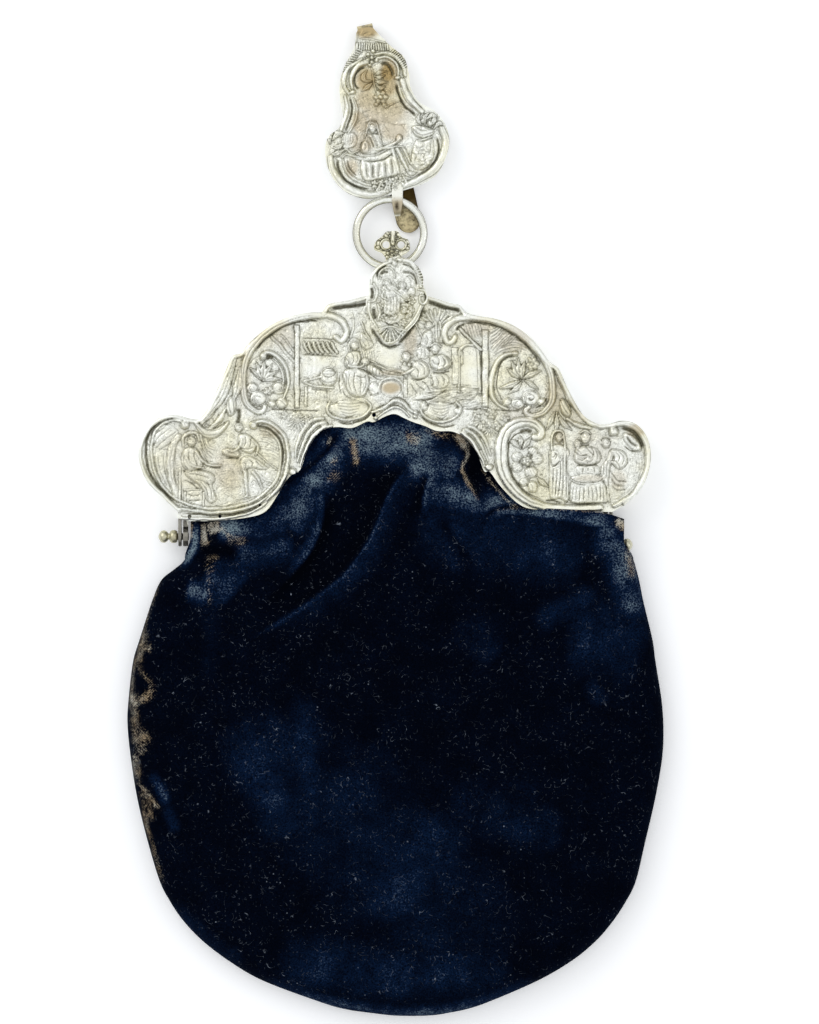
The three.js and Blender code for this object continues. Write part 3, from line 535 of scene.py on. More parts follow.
def velvet():
    """Cut-pile silk velvet: near black, with a painted blue sheen where the pile turns and painted shade in
    its folds, worn to its tan ground on edges.
    """
    material, tree, shader = new_material("blue_black_velvet", {
        "Roughness": 0.95, "Specular IOR Level": 0.0, "Sheen Weight": 0.05, "Sheen Roughness": 0.4,
        "Sheen Tint": srgb("#8494b4")})
    place = add(tree, "TexCoord", out="Object")
    worn = add(tree, "Attribute", out="Fac", attribute_name="worn")
    sheen_and_shade = add(tree, "Attribute", out="Fac", attribute_name="sheen_and_shade")
    cloud = add(tree, "TexNoise", {
        "Vector": place, "Scale": fineness(10.5), "Detail": 8.0, "Roughness": 0.68})
    # Tufts of the pile, which are finer on the real cloth and drawn this coarse so that they show
    pile = add(tree, "TexNoise", {"Vector": place, "Scale": fineness(0.5), "Detail": 2.0})
    # Painted sheen: blue haze where the pile turns, broken into tufts, grey where it is strongest
    clouded = add(tree, "MapRange", {0: cloud, 1: 0.4, 2: 0.62, 3: 0.45, 4: 1.1})
    tufted = add(tree, "MapRange", {0: pile, 1: 0.32, 2: 0.66, 3: 0.2, 4: 1.7})
    haze = add(tree, "Math", {0: sheen_and_shade, 1: clouded}, operation="MULTIPLY")
    haze = add(tree, "Math", {0: haze, 1: tufted}, operation="MULTIPLY")
    blue = add(tree, "MapRange", {0: haze, 1: 0.0, 2: 0.6})
    grey = add(tree, "MapRange", {0: haze, 1: 0.42, 2: 1.35})
    colour = add(tree, "Mix", {0: blue, 6: srgb("#020308"), 7: srgb("#0f2240")}, 2, data_type="RGBA")
    colour = add(tree, "Mix", {0: grey, 6: colour, 7: srgb("#74868f")}, 2, data_type="RGBA")
    # Herringbone ground where the pile has gone, its threads drawn coarser than real ones to show
    ragged = add(tree, "TexNoise", {
        "Vector": place, "Scale": fineness(2.4), "Detail": 5.0, "Roughness": 0.7})
    ragged = add(tree, "MapRange", {0: ragged, 1: 0.25, 2: 0.75, 3: -0.3, 4: 0.3})
    tuft = add(tree, "MapRange", {0: pile, 1: 0.25, 2: 0.75, 3: -0.6, 4: 0.6})
    row = add(tree, "SeparateXYZ", {0: place}, 0)
    row = add(tree, "Math", {0: row, 1: 3 * MM}, operation="PINGPONG")
    up = add(tree, "SeparateXYZ", {0: place}, 1)
    row = add(tree, "Math", {0: row, 1: up}, operation="ADD")
    row = add(tree, "Math", {0: row, 1: math.tau / (0.85 * MM)}, operation="MULTIPLY")
    row = add(tree, "Math", {0: row}, operation="SINE")
    row = add(tree, "Math", {0: row, 1: 0.2}, operation="MULTIPLY")
    bare = worn
    for part in (ragged, tuft, row):
        bare = add(tree, "Math", {0: bare, 1: part}, operation="ADD")
    bare = add(tree, "MapRange", {0: bare, 1: 0.34, 2: 1.2})
    near = add(tree, "MapRange", {0: worn, 1: 0.02, 2: 0.3})
    bare = add(tree, "Math", {0: bare, 1: near}, operation="MULTIPLY")
    tan = add(tree, "MapRange", {0: cloud, 1: 0.42, 2: 0.6})
    tan = add(tree, "Mix", {0: tan, 6: srgb("#a08d72"), 7: srgb("#b4b1a5")}, 2, data_type="RGBA")
    colour = add(tree, "Mix", {0: bare, 6: colour, 7: tan}, 2, data_type="RGBA")
    # Lint: faint specks, a few bright ones and short fibres, coarser than real ones to show
    cell = {"Vector": place, "Scale": fineness(1.1)}
    spread = add(tree, "TexVoronoi", cell, "Distance")
    chance = add(tree, "SeparateColor", {0: add(tree, "TexVoronoi", cell, "Color")}, 0)
    dot = add(tree, "MapRange", {0: spread, 1: 0.26, 2: 0.08})
    some = add(tree, "MapRange", {0: chance, 1: 0.6, 2: 1.0, 3: 0.0, 4: 0.11})
    few = add(tree, "MapRange", {0: chance, 1: 0.985, 2: 1.0, 3: 0.0, 4: 0.4})
    speck = add(tree, "Math", {0: some, 1: few}, operation="ADD")
    speck = add(tree, "Math", {0: speck, 1: dot}, operation="MULTIPLY")
    curl = add(tree, "TexNoise", {
        "Vector": place, "Scale": fineness(2.6), "Detail": 0.0, "Distortion": 0.8})
    curl = add(tree, "Math", {0: curl, 1: 0.5}, operation="SUBTRACT")
    curl = add(tree, "Math", {0: curl}, operation="ABSOLUTE")
    curl = add(tree, "MapRange", {0: curl, 1: 0.013, 2: 0.002})
    broken = add(tree, "TexNoise", {"Vector": place, "Scale": fineness(1.4), "Detail": 1.0})
    broken = add(tree, "MapRange", {0: broken, 1: 0.53, 2: 0.74, 3: 0.0, 4: 0.42})
    hair = add(tree, "Math", {0: curl, 1: broken}, operation="MULTIPLY")
    lint = add(tree, "Math", {0: speck, 1: hair}, operation="MAXIMUM")
    dense = add(tree, "MapRange", {0: cloud, 1: 0.42, 2: 0.6, 3: 0.12, 4: 1.1})
    lint = add(tree, "Math", {0: lint, 1: dense}, operation="MULTIPLY")
    colour = add(tree, "Mix", {0: lint, 6: colour, 7: srgb("#a9b4c4")}, 2, data_type="RGBA")
    tree.links.new(colour, shader.inputs["Base Color"])
    bump = add(tree, "Bump", {"Height": pile, "Strength": 0.5, "Distance": 0.3 * MM})
    tree.links.new(bump, shader.inputs["Normal"])
    return material


VELVET = velvet()


def place_piece(obj, material, body, slot, *nodes):
    """Give a piece its material, the body it rides on and the nodes that it replaces; its slot is not used.
    """
    obj.data.materials.append(material)
    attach(obj, body)
    if nodes:
        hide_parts(*nodes)
    return obj


# Front of the frame

def front_relief():
    """Front plate with its sewing holes, scenes, borders and tarnish."""
    upper, lower = flow(UPPER_EDGE, 4), flow(LOWER_EDGE, 4)
    holes = [(374, 415, 2.0), (189.5, 516.5, 2.0), (220, 516.5, 1.6), (260, 505, 1.4)]
    plate = Relief(np.vstack((upper, lower)), step=0.27, holes=holes)
    plate.h += 0.35 * smooth(0, 6, plate.inset)
    plate.curls(420)
    for work in (left_lobe, left_arch, middle, right_arch, right_lobe, sewing_edge):
        work(plate)
    plate.ridge(2.0, 1.0, None, chase=0.12, line=shifted(upper, 0.7))
    for row in (
            (244, 372, 9, 42, 0.22), (262, 338, 24, 14, 0.2), (228, 470, 18, 26, 0.34),
            (190, 458, 34, 42, 0.14), (284, 336, 14, 16, 0.3), (410, 340, 9, 20, 0.45),
            (478, 328, 20, 10, 0.35), (512, 340, 24, 16, 0.35), (555, 398, 12, 26, 0.38),
            (572, 412, 24, 18, 0.24), (618, 480, 10, 12, 0.3), (392, 373, 16, 4, 0.4),
            (636, 430, 12, 8, 0.5), (590, 450, 30, 24, 0.16), (560, 438, 8, 10, 0.3),
            (270, 432, 14, 8, 0.3), (590, 478, 20, 4, 0.3), (524, 414, 30, 10, 0.24)):
        plate.blot(*row)
    # Painted shadow: a dark line cut and inked into the plate under the edge of the clasp flap
    plate.crease(1.5, -0.45, (424, 306, 420, 314, 413, 326, 405, 336, 398, 344))
    plate.crease(1.3, -0.4, (398, 344, 390, 347, 383, 344, 378, 337, 371, 327))
    plate.blot(391, 388, 12, 7, 0.75)
    for row in (
            (470, 372, 10, 26), (390, 355, 12, 14), (350, 409, 18, 8), (391, 388, 12, 8),
            (318, 366, 12, 8)):
        plate.plain(*row)
    return plate.object("front_frame_relief", FRONT_TOP, FRONT_LOW)


def left_lobe(plate):
    """Seated and standing people between a curtain and a wall, in a scrolled rim."""
    plate.dome(165, 437, 14, 13, 0.6)
    plate.ridge(4.5, 0.8, (179, 436, 172, 448, 171, 462, 172, 478, 178, 499), (0.6, 0.7))
    plate.creases(0.7, -0.26, [
        (152, 446, 160, 436, 172, 427), (155, 449, 165, 440, 177, 431), (160, 450, 170, 444, 178, 437),
        (152, 440, 158, 432, 166, 426), (173, 446, 170, 464, 174, 486), (176, 448, 174, 466, 177, 488),
        (158, 456, 160, 470, 168, 488), (163, 453, 165, 470, 171, 490), (154, 456, 156, 468, 162, 482)])
    plate.panel(178.8, 468, 181.2, 503, 0.6)
    plate.form(0.9, 1.2, (
        184, 471, 194, 470, 206, 471, 213, 474, 215, 480, 212, 485, 214, 492, 217, 499, 210, 503, 205, 497,
        202, 489, 196, 483, 188, 478))
    plate.form(1.0, 1.3, (
        184, 449, 190, 447, 197, 449, 201, 457, 203, 466, 196, 470, 187, 470.5, 182, 465, 181.5, 456))
    for board in ((183, 489, 200, 490.6), (184, 491, 186, 505), (202.5, 492, 204.5, 506)):
        plate.panel(*board, 0.5)
    plate.creases(0.6, -0.34, [
        (184, 454, 184, 463, 188, 470), (189, 450, 189, 460, 192, 468), (194, 450, 195, 459, 198, 467),
        (188, 474, 199, 475, 210, 478), (194, 479, 203, 481, 211, 485), (200, 481, 206, 489, 208, 500),
        (207, 481, 211, 490, 212, 501), (182, 470, 187, 472.5, 194, 471), (184, 480, 191, 483, 199, 490),
        (188, 494, 194, 496, 200, 495), (188, 500, 195, 501, 201, 500)])
    plate.ridge(1.8, 1.2, (197, 452, 203, 461, 211, 465.5, 221, 465), (1, 0.6))
    plate.ridge(1.5, 1.1, (187, 458, 192, 466, 204, 468), (1, 0.6))
    plate.ridge(2.2, 0.9, (183, 446, 183.5, 438, 190, 433, 197, 434, 199, 441), (0.5, 0.6))
    plate.head(191.5, 442, 4.0, 5.0, 1.2)
    plate.creases(0.8, 0.3, [
        (201, 434, 203, 446, 209, 458), (205, 436, 209, 446, 216, 450), (199, 448, 203, 456, 207, 464),
        (202, 440, 206, 450, 214, 457)])
    plate.crease(0.7, -0.45, (210, 467, 216, 467.6, 221, 467.5))
    # Standing person with a bag and a staff
    plate.form(0.9, 0.9, (222, 450, 229, 448, 236, 449, 240, 453, 238, 457.5, 230, 457, 223, 455))
    plate.form(0.8, 1.0, (
        242, 458, 250, 456, 258, 460, 266, 466, 268, 469, 260, 469.5, 252, 468, 247, 469, 242, 472,
        240, 466))
    plate.ridge(2.2, 1.0, (245, 472, 246, 484, 247, 495), (1.2, 0.7))
    plate.ridge(1.8, 0.9, (253, 472, 259, 480, 262, 488), (1.1, 0.6))
    plate.ridge(1.2, 0.9, (241, 499, 246, 496.5, 249, 496.5), (0.5, 0.8))
    plate.form(1.0, 1.1, (240, 434, 247, 434, 254, 440, 256, 447, 252, 453, 245, 452, 240, 448, 238, 441))
    plate.ridge(1.6, 1.1, (242, 440, 239, 448, 231, 452), (1, 0.7))
    plate.ridge(1.6, 1.1, (253, 440, 258, 447, 256, 455), (1, 0.7))
    plate.ridge(0.8, 0.9, (256, 452, 267, 462, 278, 470))
    plate.head(239, 428, 3.6, 4.4, 1.2)
    plate.creases(0.6, -0.34, [
        (239, 447.5, 247, 449, 254, 447), (245, 436, 246, 442, 244, 447), (250, 438, 251, 443, 249, 448),
        (243, 462, 246, 465, 244, 470), (249, 460, 253, 463, 251, 467), (256, 461, 260, 465, 264, 468),
        (225, 457.8, 232, 458.4, 239, 458), (226, 450, 230, 453, 236, 454)])
    plate.creases(0.7, 0.24, [
        (258, 440, 268, 442, 279, 448), (259, 447, 270, 449, 280, 454), (262, 455, 272, 456, 280, 461),
        (257, 472, 265, 479, 274, 482), (254, 478, 262, 485, 270, 487), (262, 436, 269, 437, 276, 442),
        (222, 492, 240, 499, 258, 494), (206, 508, 220, 506, 232, 503), (218, 480, 228, 486, 240, 486),
        (220, 474, 228, 472, 236, 476)])
    plate.strokes(216, 470, 262, 503, 40, 6, 15, 40, 0.12, 5)
    # Swag over the middle and the scrolled rim
    plate.ridge(6, 1.2, (196, 424, 205, 432, 216, 433, 228, 423), (0.3, 0.3))
    plate.ridge(3.2, 1.1, (202, 423, 211, 413, 218, 400), (0.6, 0.3))
    plate.ridge(3.4, 1.1, (210, 429, 220, 419, 226, 408), (0.6, 0.3))
    plate.creases(0.6, -0.28, [
        (197, 426, 206, 435, 218, 435), (200, 425, 208, 430, 218, 430, 226, 423),
        (205, 423, 212, 426, 222, 421), (204, 420, 211, 412, 216, 404)])
    rim = [
        (185, 428), (182, 422), (174, 420), (162, 424), (154, 434), (151, 450), (154, 469), (161, 484),
        (173, 497), (190, 504.5), (210, 508), (230, 507), (250, 502), (267, 491), (278, 475), (281, 456),
        (278, 441), (270, 432), (261, 429)]
    plate.ridge(1.7, 1.0, rim, (0.8, 0.8))
    plate.ridge(2.4, 1.3, (
        180, 508.5, 210, 512, 235, 510.5, 257, 504.5, 275, 492, 285, 475, 288, 455, 285, 438, 275, 426,
        263, 421, 253, 423), (0.7, 0.9))
    plate.crease(1.2, -0.4, (256, 427, 266, 427, 277, 436, 283, 450, 281, 470))
    plate.crease(1.4, -0.5, (178, 419, 162, 420, 149, 433, 146, 452, 150, 473, 162, 490, 178, 502))
    plate.dome(185, 425, 4.8, 4.8, 1.6)
    plate.dome(253.5, 425.5, 4.5, 4.5, 1.6)


def left_arch(plate):
    """Room with a post, a railed loft and a tub, and a posy in its own scroll."""
    rim = [
        (336, 337), (341, 341), (346, 336), (346, 328), (339, 319), (325, 315), (308, 316), (288, 321),
        (268, 332), (253, 347), (245, 365), (243, 384), (246, 401), (255, 411), (263, 411), (265, 406)]
    plate.ridge(1.6, 0.9, (272, 337, 283, 349, 294, 362))
    plate.ridge(1.1, 0.8, (281, 335, 288, 343, 294, 351))
    plate.panel(294.5, 325, 299.6, 408, 1.0, 0.3)
    plate.creases(0.7, -0.35, [
        (302, 338.5, 318, 338.5, 334, 340), (302, 355, 318, 355, 340, 357), (311, 389, 318, 390, 327, 391),
        (262, 409, 292, 410, 322, 411)])
    for k in range(7):
        plate.ridge(1.5, 0.7, [
            (304 + 4.7 * k, 343), (305.6 + 4.7 * k, 348), (308.5 + 4.8 * k, 352.5)], chase=0.3)
    plate.dome(328.5, 377, 8.8, 9.5, 1.1, 0, 0.5)
    plate.dome(328.5, 373, 6, 4, 0.6, 0, 0.5, 0.5)
    plate.creases(0.5, -0.3, [
        (323, 371.5, 328, 371, 334, 371.5), (323, 374.5, 328, 374.5, 334, 374.5),
        (322, 381, 328, 383, 336, 381)])
    plate.ridge(1.5, 0.9, (304, 382, 315, 386, 333, 388))
    plate.ridge(1.2, 0.8, (305, 381, 313, 379, 321, 377))
    plate.panel(304.5, 387, 307.5, 407, 0.6)
    plate.panel(327, 391, 329.5, 402, 0.6)
    plate.creases(0.6, 0.12, [
        [(303 + 4 * k, 358), (303 + 4 * k, 366), (303 + 4 * k, 374)] for k in range(5)])
    plate.creases(0.6, 0.12, [
        [(303 + 4.5 * k, 324), (303 + 4.5 * k, 329), (303 + 4.5 * k, 335)] for k in range(7)])
    plate.strokes(302, 398, 330, 408, 20, 6, 10, 30, 0.14, 7)
    plate.strokes(262, 336, 292, 352, 34, 4, 40, 60, 0.12, 8)
    # Posy: a fan of petals over a rose and buds
    plate.dome(266, 383, 22, 28, 0.35, 0, 0.5)
    for x, y in ((250, 368), (256, 362), (264, 361), (272, 364), (278, 371), (281, 379)):
        plate.leaf(3.2, 1.3, [(263, 381), ((263 + x) / 2, (381 + y) / 2 - 1), (x, y)], 2)
    for row in ((259, 398, 9, 1.2), (279, 388, 7.5, 1.1), (253, 388, 6.5, 1.1)):
        plate.rose(*row)
    plate.flower(269, 391, 5, 5, 1.3)
    plate.dome(282, 403, 6, 5.5, 1.2)
    plate.dome(272, 404, 4, 4, 1.1)
    plate.creases(0.6, -0.3, [(250, 371, 255, 375, 261, 378), (279, 400, 283, 402, 286, 406)])
    plate.ridge(2.4, 1.4, (
        262, 359, 263, 354, 271, 353, 280, 359, 287, 371, 288, 386, 284, 398), (0.8, 0.5))
    plate.ridge(1.1, 1.0, (272, 359, 279, 366, 283.5, 377, 283, 390), (0.6, 0.5))
    plate.crease(2.2, -0.6, (266, 358.5, 269, 357, 273, 358))
    plate.dome(263.5, 356, 3.6, 3.6, 1.4)
    plate.ridge(4, 1.4, rim, (0.7, 0.6), rounding=0.8)
    plate.crease(0.7, -0.3, rim[5:15])
    plate.crease(1.0, -0.35, (320, 321, 304, 321, 286, 326, 268, 337, 254, 351))
    # Shoulder: husk and long leaves
    plate.leaf(4.5, 0.9, (236, 358, 229, 380, 219, 402, 205, 420), 5)
    plate.leaf(4.5, 1.0, (240, 368, 237, 388, 233, 404), 3)
    plate.dome(231.5, 406, 5, 10, 1.4, -6)
    plate.creases(0.6, -0.35, [(229, 398, 229, 406, 231, 414), (233, 397, 234, 405, 234, 413)])
    plate.crease(2.6, -0.4, (238, 408, 239, 416, 238, 424))
    for x, y, size in ((283, 414, 5), (297, 416, 6), (309, 419, 5)):
        plate.flower(x, y, size, 5, 0.9)
    plate.strokes(288, 411, 328, 426, 26, 5, 30, 60, 0.16, 9)


def middle(plate):
    """People round a bed and a hearth, under the flap of the clasp."""
    plate.crease(1.7, -0.9, (332, 308.5, 350, 306.5, 368, 303.5))
    plate.crease(1.5, -0.8, (428, 302, 443, 307, 460, 310.5))
    plate.dome(391, 355, 13, 16, 0.4, 0, 0.9, 0.06)
    plate.ridge(2.0, 1.0, (371, 361, 385, 368, 402, 372, 406, 376), (0.6, 0.8))
    plate.ridge(1.2, 0.7, (376, 368, 386, 375, 402, 377))
    plate.dome(391, 389, 10, 8, 0.35, 0, 0.4)
    plate.ridge(1.3, 0.8, (379, 393, 380, 384, 386, 379, 396, 379, 402, 384, 404, 393))
    plate.panel(403.5, 379, 407.5, 397, 0.5)
    # Lute hung on the wall over a fringe
    plate.form(0.7, 0.8, (361, 333, 365, 334, 370, 339, 373, 345, 370, 349, 364, 349.5, 360.5, 345))
    plate.ridge(1.0, 0.9, (361, 322, 365, 331, 370, 339))
    plate.creases(0.5, -0.3, [(363, 335, 367, 341, 369, 347), (362, 340, 364, 344, 366, 348)])
    plate.creases(0.6, 0.3, [
        [(361 + 2.2 * k, 350.5), (361.6 + 2.2 * k, 354), (362 + 2.3 * k, 358.5)] for k in range(6)])
    plate.ridge(1.0, 0.7, (352, 314, 354, 326, 351, 338))
    # Seated person and a swaddled child
    plate.form(1.0, 1.4, (
        345, 370, 352, 368, 360, 369, 367, 372, 369, 378, 368, 388, 364, 396, 355, 397, 349, 393, 345, 385,
        343, 377))
    plate.form(1.0, 1.1, (350, 352, 346, 356, 344, 362, 346, 367, 351, 368, 358, 365, 361, 358, 359, 352))
    plate.ridge(1.8, 1.2, (347, 358, 349, 365, 356, 367, 363, 366), (1, 0.7))
    plate.ridge(1.6, 0.8, (349.5, 352, 349, 344, 354, 339, 359, 343, 360, 351), (0.5, 0.5))
    plate.head(354.5, 346, 4.0, 5.0, 1.2)
    plate.creases(0.6, -0.34, [
        (350, 373, 349, 383, 352, 393), (355, 372, 354, 384, 357, 395), (360.5, 373, 361, 384, 360, 395),
        (365, 374, 366, 384, 363, 393), (345, 373, 347, 379, 346, 386), (356, 376, 362, 377.6, 367, 376),
        (345, 357, 349, 362, 346, 366), (352, 353, 354, 359, 352, 364), (357, 354, 358, 359, 356, 363),
        (340, 374, 339, 384, 342, 395), (343, 390, 346, 396, 352, 399), (370, 383, 372, 389, 371, 396)])
    plate.form(1.1, 0.9, (367, 367, 370, 364, 376, 367, 382, 371, 383, 375, 379, 376.5, 373, 374, 368, 371))
    plate.creases(0.5, -0.36, [
        (371, 365, 370, 371), (374, 366.5, 372.7, 373), (377.5, 368.5, 376, 375), (380.5, 370.5, 379, 376)])
    plate.head(365, 362, 3.4, 3.9, 1.2)
    plate.creases(0.6, -0.4, [
        (361, 369, 368, 372.5, 376, 378, 381, 380), (369, 361, 378, 364.5, 389, 369, 400, 371)])
    plate.dome(374, 389, 5, 7, 0.7)
    # Person leaning in from the right
    plate.form(1.1, 1.5, (
        413, 362, 420, 361, 427, 364, 429, 370, 427, 376, 421, 379, 414, 378.5, 410, 374, 411, 368))
    plate.ridge(1.8, 1.2, (413, 368, 408, 372, 402, 374), (1, 0.7))
    for x, y in ((402, 361), (405, 364), (409.5, 364.5), (413, 361.5), (412, 356)):
        plate.dome(x, y, 2.0, 2.0, 1.0)
    plate.head(406.5, 357, 4.2, 5.0, 1.2)
    plate.creases(0.6, -0.34, [
        (419, 363, 424, 368, 424, 375), (414, 366, 418, 372, 417, 378), (410, 378.5, 417, 380, 425, 378),
        (411, 383, 414, 389, 418, 394), (416, 382, 420, 387, 425, 390), (422, 381, 426, 384, 429, 389)])
    plate.strokes(405, 381, 428, 397, 22, 6, 50, 30, 0.16, 10)
    # Seated person at the right, plumes and a smaller person behind
    plate.fan(437.5, 328, 5, 19, 25, 158, 10, 1.4, 0.8)
    plate.ridge(1.2, 0.8, (436, 322, 436, 332, 437, 342))
    plate.ridge(1.2, 0.8, (440, 322, 441, 332, 441, 342))
    plate.form(0.6, 0.9, (417, 350, 423, 346, 429, 350, 428, 358, 419, 359))
    plate.form(0.7, 0.9, (424, 332, 431, 331, 433, 338, 431, 346, 424, 348, 420, 345, 422, 338))
    plate.ridge(0.8, 0.8, (414, 322, 419, 331, 426, 343))
    plate.head(428.5, 325.8, 3.6, 4.2, 1.0)
    plate.creases(0.5, -0.3, [
        (421, 348, 422, 353, 420, 358), (425, 348, 425, 353, 425, 358), (426, 334, 428, 340, 426, 346)])
    plate.form(0.8, 1.4, (431, 374, 438, 373, 446, 375, 449, 380, 446, 387, 438, 388, 432, 386))
    plate.form(1.1, 1.2, (
        430, 357, 436, 355, 443, 354, 449, 358, 451, 364, 448, 369, 440, 371, 433, 369, 430, 364))
    plate.ridge(1.8, 1.2, (445, 358, 447, 365, 439, 369), (1, 0.7))
    plate.head(435, 349, 4.2, 5.0, 1.2)
    plate.ridge(1.1, 1.3, (429, 347.5, 435, 343, 441, 347), (0.6, 0.6))
    plate.creases(0.6, -0.34, [
        (432, 360, 435, 364, 440, 364), (437, 356, 439, 361, 438, 367), (442, 356, 445, 362, 443, 368),
        (432, 371.5, 440, 373, 450, 371.5), (436, 376, 438, 381, 437, 387), (442, 376, 444, 381, 443, 386),
        (431, 377, 433, 382, 432, 386)])
    plate.strokes(412, 328, 424, 350, 16, 6, 60, 20, 0.16, 11)
    plate.strokes(372, 322, 382, 345, 12, 6, 60, 20, 0.14, 12)


def right_arch(plate):
    """Doorway, post and straw roof, and a lily in its own scroll."""
    rim = [
        (455, 337), (452, 342), (447, 342), (444, 334), (447, 326), (457, 319), (473, 317.5), (493, 320.5),
        (513, 329), (532, 344), (546, 362), (552, 381), (552, 399), (544, 412), (532, 416), (525, 411),
        (529, 407)]
    plate.dome(470, 372, 11, 28, 0.3, 0, 0.3)
    plate.ridge(1.6, 0.9, (459, 392, 459, 356, 463, 347, 471, 345, 478, 351, 480, 392), rounding=0.6)
    plate.ridge(1.4, 0.9, (461.5, 352, 462, 357, 461.5, 363))
    plate.panel(482, 330, 488.5, 407, 1.0, 0.3)
    plate.panel(452, 348, 458, 384, 0.5)
    plate.ridge(1.6, 1.0, (460, 329, 470, 339, 481, 350), rounding=0.6, chase=0.3)
    plate.creases(0.7, 0.26, [
        [(464 + 3 * k, 324), (466 + 3 * k, 331), (468 + 3 * k, 338)] for k in range(6)])
    plate.creases(0.7, 0.3, [
        [(490, 332 + 4 * k), (498, 328 + 3.2 * k), (503, 324 + 2.4 * k)] for k in range(4)])
    plate.creases(0.7, 0.3, [
        [(491 + 4 * k, 351 - 1.5 * k), (500 + 4 * k, 341 - 1.2 * k), (507 + 4 * k, 333 + k)]
        for k in range(5)])
    plate.creases(0.8, 0.3, [(492, 356, 502, 349, 516, 346, 528, 350), (500, 346, 512, 341, 526, 344)])
    plate.strokes(428, 386, 482, 407, 120, 7, 5, 18, 0.24, 13)
    plate.creases(0.7, -0.35, [(412, 400, 432, 399, 448, 388), (462, 409, 490, 410, 521, 411)])
    # Lily with its leaves, a bud and two roses
    plate.dome(521, 382, 28, 28, 0.3, 0, 0.5)
    for x, y in ((507, 368), (511, 361), (518, 358), (525, 361)):
        plate.leaf(3.4, 1.3, [(522, 379), ((522 + x) / 2 - 1, (379 + y) / 2), (x, y)], 2)
    plate.leaf(3.6, 1.3, (523, 379, 531, 374, 541, 371), 3)
    plate.leaf(3.8, 1.3, (519, 381, 511, 385, 500, 388), 3)
    for points in ((521, 382, 516, 388, 508, 394), (525, 381, 531, 384, 538, 390)):
        plate.leaf(3, 1.2, points, 2)
    plate.flower(532, 364, 7, 6, 1.2, 10)
    plate.rose(531, 398, 9, 1.2)
    plate.rose(518, 403, 6.5, 1.1)
    plate.dome(507, 402, 5, 4, 1.0, 40)
    plate.dome(542, 402, 4.5, 4, 1.2, 40)
    plate.creases(0.8, -0.4, [(528, 398, 531, 400, 534, 398), (536, 408, 543, 404, 547, 398)])
    plate.ridge(3, 1.4, (
        517, 353, 507, 354, 499, 360, 493, 371, 491, 385, 493, 397, 499, 405, 507, 409), (0.5, 0.5))
    plate.crease(0.7, -0.35, (515, 356, 506, 358, 499, 367, 497, 380, 498, 392, 503, 401))
    plate.dome(515, 353.5, 3.4, 3.0, 1.4)
    plate.ridge(4, 1.4, rim, (0.7, 0.6), rounding=0.8)
    plate.crease(0.7, -0.3, rim[10:15])
    plate.crease(1.0, -0.35, (464, 323, 480, 322.5, 497, 326, 514, 335, 530, 349, 541, 364))
    plate.crease(1.2, -0.4, (456, 331, 459, 327, 465, 324))
    # Shoulder: pods, husks and a ribbon
    plate.leaf(4.2, 1.0, (554, 368, 565, 388, 577, 408, 600, 428), 6)
    plate.dome(565, 408, 5, 10, 1.4, 22)
    plate.creases(0.6, -0.35, [(560, 399, 563, 407, 568, 415), (564, 398, 567, 406, 571, 413)])
    for points in (
            (555, 412, 551, 421, 546, 430), (557, 412, 557, 423, 556, 432), (559, 414, 564, 424, 572, 430)):
        plate.leaf(3, 1.0, points, 3)
    plate.ridge(3, 1.0, (567, 419, 577, 425, 590, 428), (0.5, 0.6))
    plate.crease(0.6, -0.3, (567, 420, 577, 427, 590, 430))
    for row in (
            (491, 414, 6, 6, 1.1), (478, 414, 5, 5, 1.0), (505, 417, 5, 5, 1.0), (483, 426, 5.5, 5, 1.1),
            (496, 426, 5, 5, 1.0)):
        plate.flower(*row)
    plate.strokes(470, 412, 520, 428, 22, 5, 40, 60, 0.16, 14)


